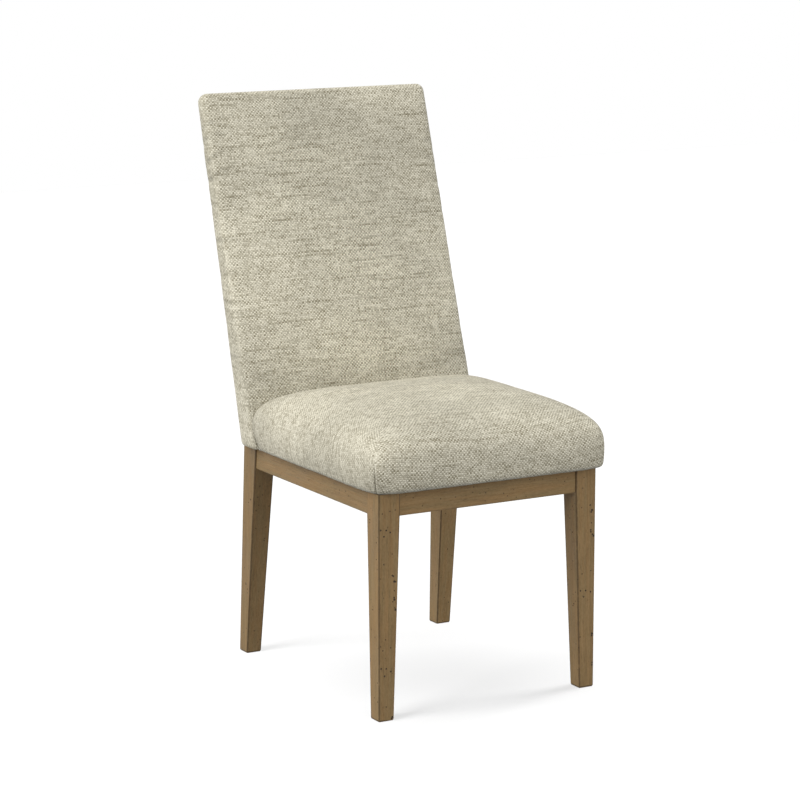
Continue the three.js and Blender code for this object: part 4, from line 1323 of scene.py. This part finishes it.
class PARSONS_OT_back_cushion(bpy.types.Operator):
    """Makes the tweed cover of the back and the panel that closes its rear."""

    bl_idname = "parsons.back_cushion"
    bl_label = "Back Cushion"

    def execute(self, context):
        cushions = context.scene.parsons_cushions
        piece = patches_to_piece("back_cushion_cover", back_patches(cushions.cell))
        height = get_points(piece)[:, 2]
        facing = get_normals(piece)[:, 1]
        behind_seat = (height < seat_high.z + 0.004) & (facing < -0.5)
        held = (facing > 0.5) | (height < back_low.z + 0.002) | behind_seat
        fill_out(piece, np.where(held, 1.0, 0.0), cushions)
        self.crease_sides(piece)
        self.shade_back(piece)
        open_rear(piece)
        wall_and_round(piece, cushions.cloth * 0.9)
        # The back's copy of the tweed is painted 4 % lighter, as painted light on the back.
        dress(piece, tweed_material("back tweed", 1.10, 1.1, 1.04), "tweed_cloth", "back_cover")
        self.outside_panel()
        return {"FINISHED"}

    def crease_sides(self, piece):
        """Short pulls across the side bands, where the cloth is drawn round to the rear."""
        points = get_points(piece)
        normals = get_normals(piece)
        push = 0.0005 * lumps(points, 0.05, 9.0)
        for height, depth in side_pulls:
            for sign, shift in pull_sides:
                pull = hump(points[:, 2] - height + shift, 0.0045)
                push -= 0.0011 * depth * pull * (np.sign(points[:, 0]) == sign)
        push *= np.clip(np.abs(normals[:, 0]) * 1.6 - 0.5, 0, 1)
        set_points(piece, points + normals * push[:, None])

    def shade_back(self, piece):
        """Paints shade above the seat, a broad painted shade at the upper right and painted light at the
        left, painted shade along the pulls, and marks where the weave shows least, with the sides painted a
        touch darker.
        """
        points = get_points(piece)
        normals = get_normals(piece)
        x, _y, z = points.T
        shade = 0.25 * hump(np.maximum(z - seat_high.z + 0.012, 0.0), 0.026)
        # A broad painted shade at the upper right, and painted light at the left.
        shade += 0.16 * hump(x - 0.10, 0.18) * hump(z - 0.90, 0.12)
        shade -= 0.17 * hump(x + 0.20, 0.12) * hump(z - 0.76, 0.12)
        set_mask(piece, "fold", shade * (normals[:, 1] < -0.5) + self.pull_shade_lines(points))
        set_mask(piece, "calm", np.clip(np.abs(normals[:, 0]) * 2.5 - 1.2, 0, 1))

    def pull_shade_lines(self, points):
        """Thin lines of painted shade, as in creases, that run from the rear edges, over the sides, a little
        way into the front.
        """
        x, y, z = points.T
        inward = back_half_width - np.abs(x) - np.maximum(y - seat_limit(x, z), 0.0)
        lines = np.zeros(len(points))
        for height, rise, strength in shaded_pulls:
            for sign, shift in pull_sides:
                away = z - height + shift - rise * (inward + 0.05)
                lines += strength * hump(away, 0.0027) * (np.sign(x) == sign)
        return 0.75 * lines * hump(inward + 0.03, 0.055)

    def outside_panel(self):
        """Closes the rear with a thin padded panel, a little inside the seam."""
        steps = 36
        seam = steps + 3 * arc_steps
        rows = np.linspace(back_seam_run + panel_room, back_length - back_seam_run - panel_room, 74)
        rings = [back_ring(along, steps) for along in rows]
        grid = np.stack([ring[seam : len(ring) - seam + 1] for ring in rings], 1)
        grid[:, :, 0] *= 1 - panel_room / back_half_width
        cloth = np.stack([run_length(grid, 0, grid.shape[0] // 2), run_length(grid, 1, 0)], -1)
        piece = patches_to_piece("outside_back_cloth", [(grid, cloth)])
        if np.mean(get_normals(piece)[:, 1]) < 0:
            edit_all(piece, (bpy.ops.mesh.flip_normals, {}))
        points = get_points(piece)
        from_side = back_half_width - back_seam - np.abs(points[:, 0])
        from_end = np.minimum(points[:, 2] - back_low.z - back_seam, rear_seam_top - points[:, 2])
        inside = np.clip(np.minimum(from_side, from_end) / 0.02, 0, 1)
        puff = 0.0010 * (1 - (1 - inside) ** 2) + 0.0004 * inside * lumps(points, 0.08, 21.0)
        set_points(piece, points + get_normals(piece) * (puff - 0.0004)[:, None])
        wall_and_round(piece, 0.0022)
        dress(piece, tweed_material("outside back tweed", 0.95), "tweed_cloth", "outside_back_panel")


class PARSONS_OT_fillings(bpy.types.Operator):
    """Makes the foam blocks and the wadding inside the covers."""

    bl_idname = "parsons.fillings"
    bl_label = "Foam and Wadding"

    def execute(self, context):
        foam = plain_material("cream foam", (0.78, 0.72, 0.52), (0.66, 0.58, 0.38), 260.0, 0.9, 0.0006)
        felt = plain_material("white wadding", (0.86, 0.86, 0.84), (0.74, 0.74, 0.72), 180.0, 0.95, 0.0008)
        for node, fill in (("seat_foam", 1.0), ("back_foam", 0.9)):
            piece = copy_of_node(node, f"{node}_block")
            apply_modifier(piece, "Even Mesh", "REMESH", mode="VOXEL", voxel_size=0.006)
            apply_modifier(piece, "Draw In", "DISPLACE", strength=-0.0050, mid_level=0.0)
            apply_modifier(piece, "Soften", "SMOOTH", factor=0.5, iterations=4)
            smooth_all(piece)
            dress(piece, foam, "foam", node)
        piece = copy_of_node("back_wadding", "back_wadding_layer", flatten=0.01)
        apply_modifier(piece, "Soft Edge", "BEVEL", width=0.0008, segments=2, limit_method="ANGLE")
        smooth(piece)
        dress(piece, felt, "wadding", "back_wadding")
        return {"FINISHED"}


class PARSONS_OT_straps(bpy.types.Operator):
    """Makes the woven straps of the seat and back."""

    bl_idname = "parsons.straps"
    bl_label = "Webbing"

    def execute(self, context):
        webbing = plain_material("jute webbing", (0.50, 0.37, 0.21), (0.33, 0.23, 0.12), 420.0, 0.9, 0.0004)
        for node in sorted(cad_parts):
            if "_webbing_" in node:
                piece = copy_of_node(node, node.replace("webbing", "strap"), flatten=0.01)
                apply_modifier(piece, "Selvage", "BEVEL", width=0.0003, segments=2, limit_method="ANGLE")
                smooth(piece)
                dress(piece, webbing, "webbing", node)
        return {"FINISHED"}


class PARSONS_OT_dust_cloth(bpy.types.Operator):
    """Stretches the black dust cloth under the seat."""

    bl_idname = "parsons.dust_cloth"
    bl_label = "Dust Cloth"

    def execute(self, context):
        low, high = (Vector(corner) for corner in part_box("seat_dust_cover"))
        centre = np.array((low + high) / 2)
        half_size = np.array((high - low) / 2)
        deselect()
        bpy.ops.mesh.primitive_grid_add(x_subdivisions=60, y_subdivisions=56, size=2.0)
        piece = context.object
        piece.name = "dust_cloth"
        points = get_points(piece)
        sag = ((1 - points[:, 0] ** 2) * (1 - points[:, 1] ** 2)) ** 0.8
        points[:, :2] = centre[:2] + points[:, :2] * half_size[:2]
        points[:, 2] = high.z - 0.0004 - 0.0035 * sag + 0.0002 * lumps(points, 0.05, 5.0)
        set_points(piece, points)
        apply_modifier(piece, "Cloth Wall", "SOLIDIFY", thickness=0.0006, offset=0.0)
        smooth_all(piece)
        black, deepest = (0.030, 0.030, 0.032), (0.014, 0.014, 0.015)
        cambric = plain_material("black cambric", black, deepest, 700.0, 0.85, 0.0003)
        dress(piece, cambric, "cambric", "seat_dust_cover")
        return {"FINISHED"}


class PARSONS_OT_wooden_base(bpy.types.Operator):
    """Makes the legs and rails, with burnished corners and worm holes."""

    bl_idname = "parsons.wooden_base"
    bl_label = "Wooden Base"

    def execute(self, context):
        wood = context.scene.parsons_wood
        tones = (wood.light, wood.dark, wood.burnt)
        quarter = math.radians(90)
        upright = wood_material("stained wood upright", (0.0, 0.0, 0.0), *tones)
        lengthwise = wood_material("stained wood lengthwise", (quarter, 0.0, 0.0), *tones)
        crosswise = wood_material("stained wood crosswise", (0.0, quarter, 0.0), *tones)
        # Lit and shaded copies of the wood for the rear legs: the left painted darker as painted shade, the
        # right lighter as painted light.
        for side, share in (("left", 0.86), ("right", 1.12)):
            painted_light_and_shade_tones = [[level * share for level in tone] for tone in tones]
            rear = wood_material(f"stained wood rear {side}", (0.0, 0.0, 0.0), *painted_light_and_shade_tones)
            self.make(f"front_leg_{side}", upright, wood)
            self.make(f"rear_leg_{side}", rear, wood)
            self.make(f"side_rail_{side}", lengthwise, wood)
        self.make("front_rail", crosswise, wood)
        self.make("rear_rail", crosswise, wood)
        return {"FINISHED"}

    def make(self, node, material, wood):
        """Makes one leg or rail from its solid."""
        piece = copy_of_node(node, f"{node}_wood", flatten=0.002)
        if node.startswith("side_rail"):
            self.set_back(piece, 0, wood.setback)
        if node == "front_rail":
            self.set_back(piece, 1, wood.setback)
        points = get_points(piece)
        points[points[:, 2] < points[:, 2].min() + 0.0004, 2] -= wood.foot_drop
        set_points(piece, points)
        self.mark_edges(piece, wood.edge_width)
        dress(piece, material, "stained_wood", node)
        self.bore_worm_holes(piece, node)
        smooth(piece, 5)

    def set_back(self, piece, axis, setback):
        """Moves a rail's outer face inwards, so that it stands behind the faces of the legs."""
        points = get_points(piece)
        reach = np.abs(points[:, axis])
        outer = reach > reach.max() - 0.0015
        points[outer, axis] -= np.sign(points[outer, axis]) * setback
        set_points(piece, points)

    def mark_edges(self, piece, width):
        """Insets the broad faces, and marks their borders for the dark corners."""
        activate(piece)
        bpy.ops.object.mode_set(mode="EDIT")
        bpy.ops.mesh.select_mode(type="FACE")
        bpy.ops.mesh.select_all(action="DESELECT")
        bpy.ops.object.mode_set(mode="OBJECT")
        for face in piece.data.polygons:
            face.select = face.area > broad_face
        bpy.ops.object.mode_set(mode="EDIT")
        bpy.ops.mesh.inset(thickness=width, use_individual=True, use_even_offset=False)
        bpy.ops.mesh.select_mode(type="VERT")
        bpy.ops.object.mode_set(mode="OBJECT")
        points = get_points(piece)
        inner = np.zeros(len(points), bool)
        for face in piece.data.polygons:
            if face.select:
                inner[list(face.vertices)] = True
        if "rail" in piece.name:
            # The ends of a rail are hidden joints, and stay plain.
            along = points[:, 1 if "side_rail" in piece.name else 0]
            low, high = along[inner].min() + 0.004, along[inner].max() - 0.004
            inner |= (along <= low) | (along >= high)
        set_mask(piece, "edge", 1.0 - inner)

    def bore_worm_holes(self, piece, node):
        """Bores the small round holes and nicks of the old wood."""
        if node not in worm_holes:
            return
        deselect()
        drills = []
        for face, size, places in worm_holes[node]:
            for across, height in places:
                place = hole_place(node, face, across, height, size)
                bpy.ops.mesh.primitive_ico_sphere_add(subdivisions=2, radius=size, location=place)
                drills.append(bpy.context.object)
        for drill in drills:
            drill.select_set(True)
        bpy.context.view_layer.objects.active = drills[0]
        bpy.ops.object.join()
        drill = bpy.context.object
        drill.data.materials.append(hole_material())
        apply_modifier(
            piece,
            "Worm Holes",
            "BOOLEAN",
            operation="DIFFERENCE",
            solver="EXACT",
            material_mode="TRANSFER",
            use_self=True,
            object=drill,
        )
        bpy.data.objects.remove(drill)
        low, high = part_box(node)
        points = get_points(piece)
        if np.ptp(points[:, 2]) < 0.95 * (high[2] - low[2]):
            raise RuntimeError(f"the worm holes spoilt {node}")


class PARSONS_OT_hardware(bpy.types.Operator):
    """Finishes the hidden frame, the blocks, the screws and the glides."""

    bl_idname = "parsons.hardware"
    bl_label = "Frame Wood, Screws and Glides"

    def execute(self, context):
        upright = (0.0, 0.0, 0.0)
        tones = ((0.66, 0.50, 0.30), (0.50, 0.35, 0.19), (0.25, 0.15, 0.08))
        pine = wood_material("pale frame wood", upright, *tones, specks=0.2)
        steel = plain_material("zinc screw", (0.62, 0.62, 0.60), (0.50, 0.50, 0.48), 900.0, 0.35, 0.0001, 1.0)
        brown, deep_brown = (0.075, 0.052, 0.036), (0.055, 0.038, 0.026)
        nylon = plain_material("brown nylon", brown, deep_brown, 500.0, 0.45, 0.0001)
        finishes = (
            (("seat_frame_", "back_top_rail", "back_lower_rail", "corner_block_"), pine),
            (("screw_",), steel),
            (("glide_",), nylon),
        )
        for name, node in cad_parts.items():
            for starts, finish in finishes:
                if name.startswith(starts):
                    node.data.materials.clear()
                    node.data.materials.append(finish)
        return {"FINISHED"}


class PARSONS_OT_stage(bpy.types.Operator):
    """Adds the floor, the soft light and the camera."""

    bl_idname = "parsons.stage"
    bl_label = "Stage, Light and Camera"

    def execute(self, context):
        stage = context.scene.parsons_stage
        deselect()
        bpy.ops.object.camera_add(location=camera_place)
        camera = context.object
        camera.name = "camera"
        camera.rotation_euler = (camera_target - camera.location).to_track_quat("-Z", "Y").to_euler()
        camera.data.lens = camera_lens
        camera.data.sensor_width = 36.0
        camera.data.clip_end = 50.0
        context.scene.camera = camera
        key = self.add_sun("key_light", (-0.755, -0.03, 0.655), stage.key, 70)
        fill = self.add_sun("fill_light", (0.50, -0.80, 0.33), stage.fill, 66)
        overhead = self.add_sun("floor_light", (-0.08, 0.06, 1.0), stage.overhead, 50)
        from_left = self.add_sun("left_floor_light", (-0.92, -0.085, 0.37), stage.low_light * 1.2, 40)
        from_right = self.add_sun("right_floor_light", (0.92, 0.085, 0.37), stage.low_light, 30)
        deselect()
        bpy.ops.mesh.primitive_plane_add(size=14.0)
        floor = context.object
        floor.name = "floor"
        floor.data.materials.append(self.floor_material(stage))
        self.light_only(floor, overhead, ["dust_cloth"])
        self.light_only(floor, from_left, ["front_leg_left_wood", "rear_leg_left_wood"])
        self.light_only(floor, from_right, ["front_leg_right_wood"])
        # The key and fill lights reach everything else.
        others = bpy.data.collections.new("all but the floor")
        others.objects.link(floor)
        others.collection_objects[0].light_linking.link_state = "EXCLUDE"
        key.light_linking.receiver_collection = others
        fill.light_linking.receiver_collection = others
        self.light_world(context.scene, stage)
        context.scene.view_settings.view_transform = "Standard"
        return {"FINISHED"}

    def add_sun(self, name, toward, strength, angle):
        """A soft light from far off; its size is an angle in degrees."""
        toward = Vector(toward)
        deselect()
        bpy.ops.object.light_add(type="SUN", location=toward * 4)
        light = bpy.context.object
        light.name = name
        light.rotation_euler = toward.to_track_quat("Z", "Y").to_euler()
        light.data.energy = strength
        light.data.angle = math.radians(angle)
        return light

    def light_only(self, floor, light, blockers):
        """Keeps a light to the floor, with the shadows of the named pieces alone."""
        lit = bpy.data.collections.new(f"lit by {light.name}")
        lit.objects.link(floor)
        light.light_linking.receiver_collection = lit
        shading = bpy.data.collections.new(f"shading {light.name}")
        for name in blockers:
            shading.objects.link(bpy.data.objects[name])
        light.light_linking.blocker_collection = shading

    def floor_material(self, stage):
        """White to the camera with part of its shadow, and dull to the chair, so that it lights it little."""
        material = bpy.data.materials.new("pale floor")
        material.use_nodes = True
        tree = material.node_tree
        tree.nodes.clear()
        white = (1.0, 1.0, 1.0, 1.0)
        glow = add_node(tree, "ShaderNodeEmission", (white, stage.floor_white)).outputs[0]
        pale = add_node(tree, "ShaderNodeBsdfDiffuse", (white,)).outputs[0]
        dull = add_node(tree, "ShaderNodeBsdfDiffuse", ((*stage.floor_bounce, 1.0),)).outputs[0]
        shown = add_node(tree, "ShaderNodeMixShader", (stage.floor_shadow, glow, pale)).outputs[0]
        mixed = add_node(tree, "ShaderNodeMixShader", (camera_seen(tree), dull, shown)).outputs[0]
        add_node(tree, "ShaderNodeOutputMaterial", (mixed,))
        return material

    def light_world(self, scene, stage):
        """White all round to the camera, and a weak light on the chair."""
        world = bpy.data.worlds.new("studio")
        world.use_nodes = True
        scene.world = world
        tree = world.node_tree
        background = next(node for node in tree.nodes if node.type == "BACKGROUND")
        background.inputs["Color"].default_value = (1.0, 1.0, 1.0, 1.0)
        level = add_share(tree, stage.ambient, camera_seen(tree), 1.0 - stage.ambient)
        tree.links.new(level, background.inputs["Strength"])


class PARSONS_PT_chair(bpy.types.Panel):
    """Shows the chair's settings and steps in the sidebar."""

    bl_idname = "PARSONS_PT_chair"
    bl_label = "Parsons Chair"
    bl_space_type = "VIEW_3D"
    bl_region_type = "UI"
    bl_category = "Parsons Chair"

    def draw(self, context):
        layout = self.layout
        for settings in ("parsons_tweed", "parsons_wood", "parsons_cushions", "parsons_stage"):
            group = getattr(context.scene, settings)
            box = layout.box()
            for key in group.bl_rna.properties.keys():
                if key not in {"rna_type", "name"}:
                    box.prop(group, key)
        for operator in OPERATORS:
            layout.operator(operator.bl_idname)


SETTINGS = {
    "parsons_tweed": TweedSettings,
    "parsons_wood": WoodSettings,
    "parsons_cushions": CushionSettings,
    "parsons_stage": StageSettings,
}
OPERATORS = (
    PARSONS_OT_seat_cushion,
    PARSONS_OT_back_cushion,
    PARSONS_OT_fillings,
    PARSONS_OT_straps,
    PARSONS_OT_dust_cloth,
    PARSONS_OT_wooden_base,
    PARSONS_OT_hardware,
    PARSONS_OT_stage,
)


def register():
    for name, settings in SETTINGS.items():
        bpy.utils.register_class(settings)
        setattr(bpy.types.Scene, name, bpy.props.PointerProperty(type=settings))
    for operator in OPERATORS:
        bpy.utils.register_class(operator)
    bpy.utils.register_class(PARSONS_PT_chair)


def unregister():
    bpy.utils.unregister_class(PARSONS_PT_chair)
    for operator in reversed(OPERATORS):
        bpy.utils.unregister_class(operator)
    for name, settings in SETTINGS.items():
        delattr(bpy.types.Scene, name)
        bpy.utils.unregister_class(settings)


def main():
    register()
    bpy.ops.parsons.seat_cushion()
    bpy.ops.parsons.back_cushion()
    bpy.ops.parsons.fillings()
    bpy.ops.parsons.straps()
    bpy.ops.parsons.dust_cloth()
    bpy.ops.parsons.wooden_base()
    bpy.ops.parsons.hardware()
    bpy.ops.parsons.stage()


if __name__ == "__main__":
    main()
